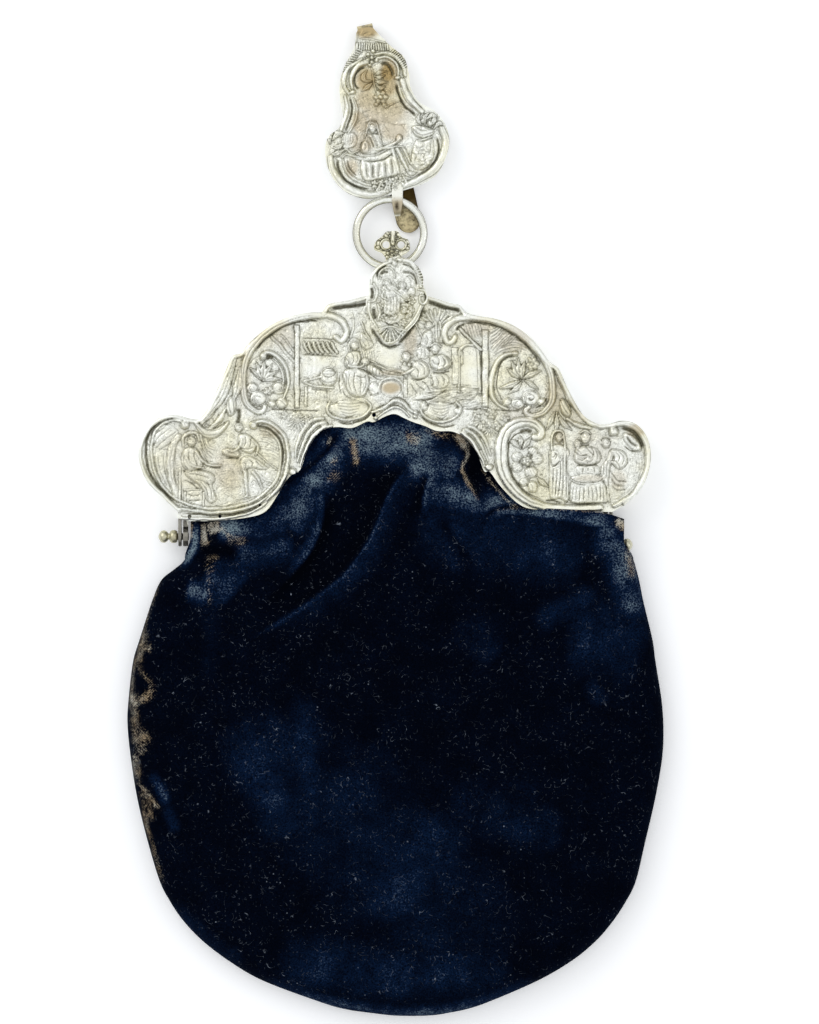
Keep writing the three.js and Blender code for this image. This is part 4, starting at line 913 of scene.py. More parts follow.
def right_lobe(plate):
    """Flowers, a veiled person and people at a draped table, in a scrolled rim."""
    plate.leaf(3.4, 1.3, (510, 440, 515, 443, 521, 449), 2)
    plate.leaf(3, 1.3, (523, 449, 527, 443, 531, 437), 2)
    plate.leaf(2.6, 1.1, (521, 447, 521, 441, 520, 436), 2)
    for x, y, size in (
            (517, 457, 5.5), (526, 461, 5.5), (537, 459, 6.5), (533, 451, 5), (517, 467, 6),
            (531, 472, 6.5)):
        plate.dome(x, y, size, size * 0.9, 1.0, 0, 0.6)
        out = math.atan2(y - 461, x - 526)
        plate.creases(0.5, -0.24, [
            [(526 + 4 * math.cos(out + k), 461 + 4 * math.sin(out + k)),
             (x + 0.8 * size * math.cos(out + 1.3 * k), y + 0.8 * size * math.sin(out + 1.3 * k))]
            for k in (-0.5, 0, 0.5)])
    plate.flower(527, 461, 5, 5, 1.4)
    plate.leaf(3.2, 1.4, (537, 477, 542, 482, 548, 487), 3)
    plate.dome(533, 487, 5, 6, 1.1)
    plate.dome(524, 482, 5, 4, 0.9, 30)
    plate.creases(0.6, -0.25, [(531, 483, 533, 488, 532, 493), (520, 480, 525, 483, 529, 487)])
    # Veiled person
    plate.form(0.9, 0.9, (
        551, 447, 549, 458, 549.5, 475, 549, 497, 556, 499.5, 560, 498, 563, 500, 568.5, 500, 568, 480,
        567, 462, 569, 452, 564, 446, 558, 444))
    plate.form(1.2, 0.9, (551, 452, 553, 450, 557, 450, 559, 455, 561, 460, 559, 464, 553, 466, 550.5, 462))
    plate.ridge(1.5, 1.2, (
        551.5, 450, 551.5, 438, 554.5, 432, 559, 430.5, 563, 433, 564.5, 440, 565, 450), (0.7, 0.7))
    plate.head(559, 438, 3.4, 4.6, 1.2)
    plate.creases(0.6, -0.38, [
        (560.5, 462, 560, 480, 558, 497), (553, 468, 553, 482, 552, 497),
        (556.5, 468, 556.5, 482, 555, 497), (563, 452, 563, 475, 562, 498), (566, 452, 566, 475, 566, 498),
        (552, 457.5, 554, 457, 556, 453), (554, 452, 557, 455, 555, 460), (552, 466.5, 556, 465, 560, 461)])
    plate.creases(0.7, -0.35, [(545, 500, 553, 501, 561, 503), (570, 503, 588, 503.5, 604, 502)])
    # Two people behind the table
    plate.form(0.5, 0.7, (577, 466, 588, 465, 598, 466, 600, 474, 588, 475, 578, 474))
    plate.form(1.1, 1.3, (
        575, 452, 576, 448, 582, 446, 590, 446, 597, 449, 601, 455, 600, 461, 595, 464, 585, 465, 577, 463,
        574, 459))
    plate.ridge(1.6, 1.2, (577, 451, 581, 456, 588, 457), (1, 0.7))
    plate.dome(588.5, 459.5, 3.4, 2.6, 1.2)
    plate.head(577.5, 444.5, 3.4, 4.0, 1.2)
    plate.head(585.5, 438, 4.6, 5.6, 1.3)
    plate.ridge(1.2, 1.4, (579.5, 433.5, 585, 430.5, 591, 433.5), (0.6, 0.6))
    plate.creases(0.6, -0.36, [
        (577, 452.5, 581, 455.5, 588, 454), (577, 458, 582, 460, 585, 458), (592, 447, 594, 453, 592, 458),
        (596, 450, 598, 455, 597, 460), (577, 463.5, 585, 466, 597, 464), (586, 446, 589, 450, 594, 456),
        (581, 443.5, 585.5, 446, 590, 443.5), (588, 468, 588, 471), (583, 468, 582, 473),
        (594, 467, 595, 473)])
    plate.form(0.5, 0.5, (
        571, 477.5, 580, 474.5, 590, 474, 600, 475.5, 604, 478.5, 597, 482, 588, 483, 578, 481.5))
    plate.form(0.9, 0.6, (
        571.5, 481.5, 580, 484, 592, 484, 603, 481.5, 606, 490, 607, 502, 590, 503, 571, 502, 570, 490))
    plate.ridge(1.1, 1.1, (570.5, 479, 578, 482.5, 588, 483.8, 598, 482.5, 604, 479.5), (0.7, 0.7))
    plate.creases(0.6, -0.34, [
        [(x, 486), (588 + 1.06 * (x - 588), 493), (588 + 1.1 * (x - 588), 501)]
        for x in (573.5, 577, 580.5, 584, 588.5, 592, 596, 599.5, 602.5)])
    # Bent person in a round chair, and a dish on the wall
    plate.form(0.8, 0.8, (
        601, 474, 602, 466, 607, 458, 610, 450, 613, 455, 611, 466, 609, 474, 608.5, 490, 610, 501,
        607.5, 501, 606, 488))
    plate.form(1.2, 1.6, (
        610, 450, 617, 449.5, 624, 452, 627.5, 458, 626.5, 464, 623, 468.5, 618.5, 469.5, 613, 465,
        610, 462, 613, 458))
    plate.head(606, 443.5, 4.0, 5.0, 1.2)
    plate.creases(0.6, -0.36, [
        (610, 461, 615, 461, 619, 465, 620, 469), (619, 452, 624, 458, 622, 465),
        (615, 452, 619, 457, 618, 462), (604, 463, 604, 470, 603, 476), (608, 460, 607, 468, 606, 478),
        (602, 438, 606, 438, 610, 440)])
    plate.creases(0.9, -0.3, [
        (612, 485, 617, 489.5, 626, 489), (611, 478, 616, 484, 625, 486), (611, 472, 617, 480, 627, 482)])
    plate.dome(632, 442.5, 12, 5.5, 0.9, -45, 0.5)
    plate.crease(1.2, -0.6, (626, 437, 630.5, 442.5, 636.5, 446.5))
    plate.crease(0.6, -0.4, (624, 446, 630, 450.5, 640, 451))
    plate.creases(0.6, 0.16, [
        [(634 + 3 * k, 455), (635 + 2.6 * k, 466), (632 + 2.4 * k, 480)] for k in range(4)])
    plate.creases(0.7, 0.2, [
        (592, 432, 602, 434, 610, 432), (594, 438, 600, 441, 602, 446), (611, 436, 618, 438, 624, 436)])
    plate.strokes(606, 488, 634, 502, 18, 6, 20, 40, 0.14, 15)
    # Rim: a broad fluted scroll at the left, a narrow one at the right
    left = [
        (534, 437), (540, 437), (541, 430), (535, 424), (525, 421.5), (513, 425), (504, 435), (501, 450),
        (502, 466), (508, 481), (518, 493), (531, 502), (548, 507), (575, 508.5), (600, 507.5)]
    plate.ridge(6, 1.3, left, (0.5, 0.5), 1.1, 0.7)
    plate.crease(0.7, -0.4, left[2:13])
    plate.crease(0.7, -0.4, (
        529, 433, 519, 433, 511, 440, 508, 452, 509, 466, 515, 480, 526, 492, 542, 500))
    plate.crease(2.2, -0.6, (520, 432, 526, 430.5, 532, 432))
    plate.ridge(2.6, 1.4, (
        611, 434, 612, 427, 622, 423.5, 634, 428, 643, 438, 647.5, 453, 646, 469, 640, 484, 629, 497,
        614, 506), (0.8, 0.8))
    plate.crease(2.0, -0.55, (621, 427.5, 631, 430.5, 639, 438, 643, 448))
    plate.dome(614, 431.5, 4.6, 4.6, 1.6)


def sewing_edge(plate):
    """Shells, leaves and the plain drilled edge that the velvet is sewn to."""
    plate.dome(349, 409, 20, 9, 0.9, 0, 0.8)
    plate.ridge(1.8, 1.1, (
        330, 401, 327, 409, 333, 417, 348, 420, 363, 416, 371, 407, 366, 400), (0.7, 0.7))
    plate.creases(0.7, -0.26, [
        [(334 + 2 * k, 402 + 3 * k), (349, 404 + 3.3 * k), (364 - 2 * k, 402 + 3 * k)] for k in range(5)])
    plate.dome(441, 411, 18, 9, 0.9, 0, 0.8)
    plate.ridge(1.8, 1.1, (
        425, 402, 421, 411, 428, 419, 441, 422, 455, 418, 461, 409, 456, 402), (0.7, 0.7))
    plate.creases(0.7, -0.26, [
        [(428 + 2 * k, 404 + 3 * k), (441, 406 + 3.3 * k), (455 - 2 * k, 403 + 3 * k)] for k in range(5)])
    plate.dome(424, 406, 4, 5, 1.2)
    plate.dome(458, 411, 4, 4, 1.2)
    plate.ridge(2.4, 0.9, (372, 412, 383, 408, 393, 401, 402, 402, 410, 410, 417, 414), (0.6, 0.6))
    plate.creases(0.7, -0.35, [
        (378, 416, 387, 410, 393, 405.5, 401, 407, 408, 416),
        (376, 408, 386, 404, 394, 398, 403, 399, 412, 408)])
    plate.dome(416, 412.5, 2.2, 2.4, 0.8)
    plate.dome(352, 423, 1.8, 2, 0.6)
    plate.ridge(1.6, 0.8, (378, 417, 386, 411, 394, 407, 402, 409, 409, 417), (0.6, 0.6))
    plate.creases(0.8, -0.4, [
        (337, 422, 350, 424, 364, 419, 371, 413), (420, 416, 430, 423, 445, 427, 456, 425)])
    for x, y, wide, tall in (
            (375.5, 418, 2.6, 2.2), (415, 417, 2.6, 2.2), (324, 425, 4.2, 3.2), (466, 431, 4.2, 3.4)):
        plate.dome(x, y, wide, tall, 1.1)
    for rolled in (
            (331, 426, 322, 428.5, 315, 434, 309, 443, 304.5, 453, 300, 466),
            (325, 422, 317, 424.5, 310, 431, 304.5, 441, 300.5, 451, 297.5, 462),
            (323, 418.5, 315, 419.5, 307, 425.5, 300.5, 436, 296.5, 448, 295, 457),
            (462, 433, 471, 440.5, 478, 451, 484.5, 466), (466, 429.5, 475, 436, 482, 446.5, 488, 461),
            (468, 426, 477, 430, 485.5, 440.5, 491, 455)):
        plate.ridge(2.1, 1.1, rolled, (0.9, 0.4))
    for fan in (
            (297, 419, 3, 11, 200, 340, 8), (308, 415, 3, 9, 190, 300, 6), (482, 421, 2, 8, 170, 290, 6),
            (490, 428, 2, 8.5, 200, 330, 7)):
        plate.fan(*fan, 0.9, 0.8)
    plate.crease(0.8, -0.4, (182, 513, 210, 514.8, 236, 512.8, 257, 506, 272, 494))
    plate.ridge(1.7, 0.8, (181, 518, 210, 518.6, 234, 516.4, 253, 511.5, 266, 503, 278, 487), (0.8, 0.6))
    plate.dome(293, 472, 4, 4, 1.2)
    plate.dome(489, 467, 4, 3.5, 1.2)


def shifted(line, by):
    """A line moved to its right-hand side."""
    along = np.gradient(line, axis=0)
    along /= np.maximum(np.hypot(along[:, 0], along[:, 1]), 1e-9)[:, None]
    return line + by * np.column_stack((along[:, 1], -along[:, 0]))


def thicken(bm, by):
    """Draw all faces out by a step in millimetres and close the sides."""
    made = bmesh.ops.extrude_face_region(bm, geom=bm.faces[:])["geom"]
    moved = [g for g in made if isinstance(g, bmesh.types.BMVert)]
    bmesh.ops.translate(bm, vec=Vector(by) * MM, verts=moved)
    bmesh.ops.recalc_face_normals(bm, faces=bm.faces)


def ribbon_wall(name, line, width, low, high):
    """A standing wall of even thickness along a line."""
    bm = bmesh.new()
    sides = []
    for side in (line, shifted(line, width)):
        verts = [bm.verts.new((x * MM, y * MM, low * MM)) for x, y in side]
        sides += [bm.edges.new(pair) for pair in zip(verts, verts[1:])]
    bmesh.ops.bridge_loops(bm, edges=sides)
    thicken(bm, (0, 0, high - low))
    return finish_mesh(bm, name)


def standing_slab(name, outline, start, stop, rounding=0.25):
    """A plate standing across X, its outline in Y and Z."""
    bm = bmesh.new()
    bm.faces.new([bm.verts.new((start * MM, y * MM, z * MM)) for y, z in outline])
    thicken(bm, (stop - start, 0, 0))
    sharp = [e for e in bm.edges if e.calc_face_angle(0) > 1.2]
    bmesh.ops.bevel(
        bm, geom=sharp, offset=rounding * MM, affect="EDGES", segments=2, profile=0.5, material=-1)
    return finish_mesh(bm, name)


def turned(name, profile, steps=32):
    """A turned piece about X: radius and distance along, in millimetres."""
    bm = bmesh.new()
    verts = [bm.verts.new((along * MM, r * MM, 0)) for r, along in profile]
    edges = [bm.edges.new(pair) for pair in zip(verts, verts[1:])]
    bmesh.ops.spin(bm, geom=verts + edges, axis=(1, 0, 0), angle=math.tau, steps=steps, use_merge=True)
    bmesh.ops.remove_doubles(bm, verts=bm.verts, dist=1e-6)
    bmesh.ops.recalc_face_normals(bm, faces=bm.faces)
    return finish_mesh(bm, name, True)


def bent_strip(name, path, half, thick, to_world, marks, across=10):
    """A flat strip bent along a path in Y and Z, its half width and its marks found along and across it."""
    path = np.asarray(path, float)
    along = np.concatenate(([0], np.cumsum(np.hypot(*np.diff(path, axis=0).T))))
    along /= along[-1]
    bm = bmesh.new()
    bmesh.ops.create_grid(bm, x_segments=across, y_segments=len(path) - 1, size=1)
    bm.verts.ensure_lookup_table()
    stain_and_shade_key, tarnish_and_shade_key = bm.verts.layers.float.new("stain_and_shade"), bm.verts.layers.float.new("tarnish_and_shade")
    for i, v in enumerate(bm.verts):
        row, column = divmod(i, across + 1)
        u = column / across * 2 - 1
        v[stain_and_shade_key], v[tarnish_and_shade_key] = marks(path[row][0], u * half(along[row]))
        v.co = to_world @ Vector((u * half(along[row]) * MM, path[row][0] * MM, path[row][1] * MM))
    bmesh.ops.recalc_face_normals(bm, faces=bm.faces)
    bmesh.ops.solidify(bm, geom=bm.faces[:], thickness=thick * MM)
    bmesh.ops.recalc_face_normals(bm, faces=bm.faces)
    return finish_mesh(bm, name, True)


place_piece(front_relief(), SILVER, "bag", "silver", "front_frame")
wall = ribbon_wall("front_frame_wall", flow(UPPER_EDGE, 4), WALL, WALL_LOW, FRONT_LOW + 0.05)
place_piece(wall, SILVER, "bag", "silver")
# Hinge lugs: a round eye about the pin and an arm up to the plate, in a darker silver as painted shade
EYE = 3.2
for side, sign, hinge_y in HINGES:
    outline = [
        (hinge_y + EYE * math.cos(a), HINGE_Z + EYE * math.sin(a))
        for a in np.linspace(math.pi * 0.5, math.pi * 1.5, 12)]
    outline += [
        (hinge_y + 2, 2.6), (hinge_y + 3.4, 5.4), (2.8, 5.4), (4.6, 5.4), (7.2, 5.6), (7.2, 9.6),
        (4.6, 9.6), (2.8, 8.2)]
    start, stop = sorted((sign * 69.6, sign * 70.7))
    place_piece(standing_slab("front_lug_" + side, outline, start, stop), SHADED_LUG, "bag", "silver")

# Hinge rivets: radius and distance along, in millimetres
KNOB = [
    (0, 67.3), (1.1, 67.3), (1.1, 71.0), (1.75, 71.05), (2.05, 71.5), (2.15, 72.2), (2.05, 72.9),
    (1.7, 73.35), (1.1, 73.6), (1.05, 74.0), (1.5, 74.25), (1.95, 74.8), (2.1, 75.5), (1.9, 76.2),
    (1.35, 76.7), (0.8, 76.95), (0.6, 77.1), (0, 77.2)]
for side, sign, hinge_y in HINGES:
    knob = turned("hinge_knob_" + side, KNOB)
    turn = Matrix.Rotation(math.pi if sign < 0 else 0, 4, "Z")
    knob.data.transform(Matrix.Translation((0, hinge_y * MM, HINGE_Z * MM)) @ turn)
    place_piece(knob, KNOBS, "bag", "tarnished_silver", "hinge_pin_" + side)


# Clasp flap and crown

def flap_relief():
    """Clasp flap: two people among flowers in broken scrolls, over a shell."""
    flap = Relief(flow(FLAP_EDGE, 6, True), step=0.15)
    flap.h += 0.25 * smooth(0, 4, flap.inset)
    flap.curls(50)
    # Two people in folded robes among flowers
    flap.dome(391, 303, 10, 14, 0.7)
    flap.dome(390, 291, 9, 7, 0.9, -10)
    flap.dome(403, 296, 7, 8, 0.8)
    flap.head(387, 283.5, 3.6, 4, 1.0)
    flap.head(402.5, 286, 3.4, 3.8, 1.0)
    flap.ridge(1.5, 1.1, (394, 290, 400, 295, 407, 299), (0.8, 0.6))
    flap.ridge(1.5, 1.1, (384, 291, 382, 297, 388, 301), (0.8, 0.6))
    flap.creases(0.6, -0.3, [
        [(383 + 3.4 * k, 297), (384 + 3.3 * k, 304), (383 + 3.6 * k, 312)] for k in range(6)])
    flap.creases(0.6, -0.26, [
        (399, 294, 404, 300, 409, 304), (380, 286, 384, 290, 390, 292), (393, 279, 395, 283, 398, 286),
        (381, 318, 388, 324, 396, 324, 403, 318), (408, 277, 411, 281, 411, 288),
        (382, 312, 388, 316, 396, 317)])
    flap.flower(408, 312, 7, 6, 1.0, 10)
    flap.flower(393, 316, 5, 5, 1.0)
    for x, y, size in ((383, 318, 4.5), (403, 323, 4.5), (412, 302, 4), (381, 306, 3.6)):
        flap.flower(x, y, size, 5, 0.9)
    flap.dome(412, 292, 4, 5, 0.8)
    flap.strokes(378, 276, 416, 326, 60, 4, 60, 80, 0.14, 21)
    # Rim of broken scrolls
    flap.ridge(1.7, 0.7, (372, 284, 372, 277, 377, 270, 386, 264, 394, 261), (0.6, 0.7))
    flap.ridge(1.4, 1.0, (378, 279, 380, 272, 387, 268, 393, 271, 395, 278), (0.6, 0.5))
    flap.crease(1.1, -0.6, (377, 277, 379, 270, 386, 266))
    flap.crease(1.2, -0.5, (381, 274, 384, 272, 388, 273))
    flap.ridge(2.4, 0.9, (398, 260, 409, 262, 416, 270, 420, 280, 421, 287), (0.7, 0.6))
    flap.crease(1.3, -0.6, (402, 272, 410, 273, 415, 278, 417, 286))
    for k in range(7):
        flap.ridge(0.9, 0.9, [
            (417 + 0.9 * k, 269 + 2.7 * k), (420.6 + 0.6 * k, 267.5 + 2.9 * k)], chase=0.22)
    for x, y, tall, rise in ((390, 259.5, 2.4, 0.9), (400, 260, 2.6, 0.9), (395, 264, 3, 1.0)):
        flap.dome(x, y, 3, tall, rise)
    flap.ridge(1.4, 1.1, (419, 290, 425, 291, 427, 298, 424, 304, 420, 302, 420, 296, 424, 296), (0.7, 0.6))
    flap.crease(0.8, -0.6, (424.5, 294, 425, 297, 424.5, 301))
    flap.ridge(1.6, 1.0, (374, 284, 377, 291, 375, 300, 369, 302), (0.7, 0.7))
    flap.crease(1.5, -0.9, (371.5, 288, 372.5, 293, 371.5, 299))
    flap.ridge(1.8, 1.0, (378, 305, 380, 313, 378, 321), (0.7, 0.7))
    flap.crease(1.7, -0.9, (374, 308.5, 374, 314, 376, 319))
    flap.ridge(1.8, 0.9, (369, 303, 369.5, 314, 375, 325, 381, 333), (0.8, 0.6))
    flap.ridge(1.6, 0.6, (421, 306, 416, 317, 408, 327, 399, 336), (0.7, 0.6))
    # Shell at the foot
    flap.fan(390, 325, 6, 17, 200, 338, 9, 1.4, 0.9)
    flap.ridge(1.4, 1.0, (380, 331, 386, 327, 394, 327, 401, 331), (0.7, 0.7))
    flap.ridge(1.4, 1.0, (381, 335, 384, 341.5, 390, 343.5, 396, 341, 400, 336), (0.7, 0.7))
    flap.creases(0.6, -0.4, [
        (382, 262, 386, 260, 391, 261), (403, 264, 409, 266, 414, 271), (406, 277, 410, 276, 414, 280),
        (386, 285, 387, 289, 391, 292), (404, 301, 409, 302, 413, 299),
        (385, 322, 390, 325, 396, 323, 400, 326)])
    flap.ink *= 0.66
    return flap.object("clasp_flap_relief", top=14.4, low=13.0)


place_piece(flap_relief(), SILVER, "clasp", "silver", "clasp_flap")
# Knuckle round the clasp pin, and the web between it and the flap
start, stop = -4.4, 5.4
bore, barrel = 0.8, 1.7
outline = [(bore, start), (barrel, start), (barrel, stop), (bore, stop), (bore, start)]
knuckle = turned("clasp_knuckle", outline, 24)
knuckle.data.transform(Matrix.Translation((0, 80 * MM, 11 * MM)))
place_piece(knuckle, SILVER, "clasp", "silver")
outline = [(78.8, 11.6), (81.2, 11.6), (81.2, 13.2), (78.8, 13.2)]
web = standing_slab("clasp_web", outline, start, stop, rounding=0.1)
place_piece(web, SILVER, "clasp", "silver")


def crown_relief():
    """Openwork crown above the clasp: scrolls round two holes, with a post between."""
    holes = [(386, 244, 4.0), (401, 244.5, 3.8)]
    crown = Relief(flow(CROWN_EDGE, 6, True), step=0.12, holes=holes)
    # Painted shade: darker along the crown's edges and a little darker all over
    crown.ink = np.maximum(0.6 * np.exp(-(crown.inset / 0.3) ** 2), 0.12)
    for x, y, wide, tall, rise in (
            (387, 234.5, 2.6, 3, 0.5), (399, 235.5, 2.6, 3, 0.5), (379, 243.5, 2.2, 3.4, 0.6),
            (378, 247, 2.4, 1.6, 0.5), (407.3, 242, 1.8, 2.2, 0.6), (407, 248, 2.2, 1.6, 0.5),
            (382, 237, 1.8, 1.5, 0.5), (388, 253, 1.7, 2, 0.6), (392, 251, 2.4, 1.1, 0.6),
            (396.5, 252, 1.8, 1.5, 0.6), (392, 254.5, 1.6, 1.1, 0.5), (398, 256, 2, 1.6, 0.5),
            (387.5, 257, 2, 1.6, 0.5)):
        crown.dome(x, y, wide, tall, rise, 0, 1.0, 0.3)
    for x, y in ((386, 244), (401, 244.5)):
        loop = [(x + 5.2 * math.cos(a), y + 5.0 * math.sin(a)) for a in np.linspace(0, math.tau, 13)]
        crown.ridge(1.0, 0.6, loop, chase=0.25)
    crown.creases(1.0, -0.6, [
        (390.2, 238, 390.6, 243, 393, 246.8, 396, 243, 396.8, 239),
        (381, 249.4, 386, 250, 392, 248.8, 398, 250, 403, 249.4), (385, 232, 388, 235, 391, 236),
        (396, 236, 398, 237, 399, 240)])
    crown.ridge(2.3, 1.1, (393.3, 231.6, 393.3, 238, 393.4, 244), (1.1, 0.85), chase=0.3)
    crown.creases(0.7, -0.5, [
        (393.3, 241, 393.5, 243.2), (391, 252.7, 393, 252.7), (396.2, 254, 398, 254),
        (393, 256, 394.4, 256)])
    crown.ink *= 0.72
    return crown.object("crown_relief", top=7.0, low=6.15)


place_piece(crown_relief(), SILVER, "bag", "silver")


# Suspension ring

def ring():
    """Round wire ring, tilted as it lies between its eye and the tab of the hook, with painted shade down
    its sides.
    """
    radius, wire = 11, 1.25
    bm = bmesh.new()
    upright = Matrix.Rotation(math.pi / 2, 4, "X")
    section = Matrix.Translation((radius * MM, 0, 0)) @ upright
    bmesh.ops.create_circle(bm, segments=18, radius=wire * MM, matrix=section)
    bmesh.ops.spin(
        bm, geom=bm.verts[:] + bm.edges[:], axis=(0, 0, 1), angle=math.tau, steps=96, use_merge=True)
    bmesh.ops.remove_doubles(bm, verts=bm.verts, dist=1e-6)
    bmesh.ops.recalc_face_normals(bm, faces=bm.faces)
    tilt = Matrix.Rotation(math.atan2(1.85, 2 * radius), 4, "X")
    bmesh.ops.transform(
        bm, matrix=Matrix.Translation((-1.79 * MM, 92.6 * MM, 4.075 * MM)) @ tilt, verts=bm.verts)
    bm.normal_update()
    # Painted shade down the wire's sides, darker where the surface turns away from straight up
    tarnish_and_shade_key = bm.verts.layers.float.new("tarnish_and_shade")
    for v in bm.verts:
        v[tarnish_and_shade_key] = 0.95 * smooth(0.72, 0.36, v.normal.z)
    return finish_mesh(bm, "ring_wire", True)


place_piece(ring(), WIRE, "bag", "silver", "suspension_ring")


# Belt hook

def hook_relief():
    """Plate of the belt hook: a person at a table, fruit, leaves and a sprig in paired scrolls."""
    hook = Relief(flow(HOOK_EDGE, 6, True), step=0.19)
    hook.h += 0.3 * smooth(0, 4, hook.inset)
    hook.curls(90)
    hook.plain(398, 124, 12, 14)
    hook.plain(366, 82, 12, 14)
    hook.creases(0.6, -0.2, [
        (397, 113, 403, 112, 409, 112), (391, 117, 397, 114, 402, 118), (386, 121, 396, 125, 407, 124),
        (394, 108, 401, 106, 406, 108), (358, 122, 362, 118, 368, 116), (362, 113, 366, 111, 370, 110),
        (384, 122, 386, 128, 390, 132), (401, 124, 404, 128, 408, 133)])
    # Person in a veil at a draped table
    hook.form(0.8, 1.2, (
        367, 134, 363, 139, 361, 148, 364, 154, 372, 154, 380, 151, 383, 147, 381, 138, 378, 134))
    hook.form(1.2, 1.0, (362, 143, 366, 140, 370, 145, 370, 152, 364, 153, 360, 150))
    hook.ridge(1.7, 1.2, (377, 149, 388, 146, 396, 142, 401, 138), (1.2, 0.7))
    hook.form(1.1, 0.5, (396, 138, 399, 134, 402, 136, 402, 140, 398, 142))
    hook.ridge(1.6, 1.1, (372, 121.5, 368, 124, 366.5, 130, 364, 138), (0.8, 0.4))
    hook.ridge(1.6, 1.1, (373, 121.5, 377, 124, 378.5, 130, 381, 138), (0.8, 0.4))
    hook.head(372.5, 127.5, 4.2, 5.2, 1.4)
    hook.creases(0.6, -0.34, [
        (368, 135, 371, 141, 374, 148), (373, 134, 376, 140, 378, 147), (364, 143, 366, 147, 364, 151),
        (368, 144, 369, 148, 368, 152)])
    hook.creases(0.8, 0.3, [(370.5, 135, 373, 141, 376, 148), (366, 136, 366, 139, 364, 141)])
    # Table: top, cloth in upright folds, and the folds that fall on the right
    hook.form(0.7, 0.8, (
        350, 152, 360, 156, 372, 156, 384, 152, 391, 148, 392, 153, 384, 158, 372, 161, 360, 160, 352, 157))
    hook.form(1.1, 0.7, (
        361, 160, 372, 162, 384, 159, 392, 155, 396, 164, 398, 174, 386, 177.5, 375, 180, 363, 179))
    hook.creases(0.7, -0.4, [
        (366, 163, 366.5, 170, 367.5, 178), (373, 164, 373, 172, 373.5, 179),
        (379, 163, 379.5, 170, 379, 178), (385, 161, 386, 169, 386.5, 177),
        (391, 158, 392.5, 167, 393, 174)])
    hook.creases(1.0, 0.3, [
        (369.5, 163, 370, 171, 370.5, 178), (376, 163, 376, 171, 376.5, 178),
        (382, 162, 383, 170, 383, 177), (388.5, 160, 389.5, 168, 390, 175)])
    hook.ridge(2.0, 1.2, (392, 148, 394.5, 157, 397, 165, 399, 173), (0.9, 0.7))
    hook.ridge(2.4, 1.2, (397, 149, 401, 156, 404.5, 163, 408, 170), (0.9, 0.7))
    hook.ridge(1.8, 0.9, (402, 147, 407, 155, 411, 164), (0.9, 0.5))
    hook.ridge(1.3, 1.0, (380, 147, 388, 148, 396, 146, 404, 147), (0.5, 0.5))
    # Curled leaves on the left
    hook.form(0.8, 1.2, (344, 133, 349, 132, 355, 133, 357.5, 140, 355, 146, 350, 148, 344, 150, 341, 141))
    hook.creases(0.6, -0.3, [
        (345, 134, 344, 140, 345, 146), (349, 133, 348.5, 140, 348, 146), (353, 134, 353.5, 140, 351, 145),
        (346.5, 133, 346, 140, 346.5, 147), (351, 133, 351, 140, 349.5, 146)])
    hook.leaf(3.4, 1.2, (343, 133, 337, 134, 332, 140), 3)
    hook.leaf(3.2, 1.2, (343, 143, 338, 147, 333, 148), 2)
    hook.leaf(3.4, 1.2, (344, 149, 338, 153, 331, 155), 3)
    hook.leaf(2.6, 1.2, (333, 130, 330, 137, 330, 144), 2)
    hook.ridge(1.3, 1.1, (340, 152, 346, 149, 352, 153, 359, 150), (0.6, 0.6))
    hook.ridge(1.3, 1.0, (342, 158, 347, 154, 353, 156, 359, 156), (0.5, 0.5))
    # Bowl of fruit and leaves over a worked stand
    hook.form(0.9, 1.4, (
        416, 140, 424, 141, 432, 138, 434, 147, 433, 158, 427, 167, 418, 170, 411, 164, 412, 152))
    hook.creases(0.6, -0.3, [
        (414, 145, 419, 148, 424, 146), (412, 152, 416, 155, 415, 160), (430, 143, 431, 149, 429, 155),
        (416, 164, 422, 165, 427, 161), (427, 158, 423, 161, 418, 158), (418, 155, 420, 150, 426, 150),
        (421, 155, 423, 153, 425, 155, 423, 157)])
    hook.form(1.3, 1.3, (412, 127, 418, 125, 427, 126, 434, 129, 433, 134, 427, 138, 419, 137, 414, 133))
    hook.creases(0.6, -0.36, [(413, 129, 418, 133.5, 425, 135, 433, 132), (416, 127, 421, 130, 428, 130.5)])
    hook.ridge(1.2, 1.2, (418, 140, 425, 139.5, 432, 136.5), (0.6, 0.6))
    for points in (
            (421, 124, 418, 119, 420, 113), (425, 124, 425, 117, 429, 112), (430, 126, 434, 120, 434, 114),
            (434, 128, 439, 123, 443, 124), (427, 119, 432, 115, 437, 116)):
        hook.leaf(2.8, 1.2, points, 2)
    hook.dome(430, 123, 3, 2.6, 1.2)
    hook.dome(423, 121, 2.4, 2.4, 1.2)
    for patch in (
            (416, 112, 444, 130, 30, 4, 40, 80, 0.24, 31), (412, 142, 432, 168, 26, 4, 60, 80, 0.2, 33),
            (329, 132, 346, 156, 22, 4, 20, 80, 0.24, 35)):
        hook.strokes(*patch)
    hook.leaf(2.6, 1.1, (406, 170, 411, 173, 417, 172), 2)
    hook.leaf(2.4, 1.1, (402, 174, 406, 178, 413, 178), 2)
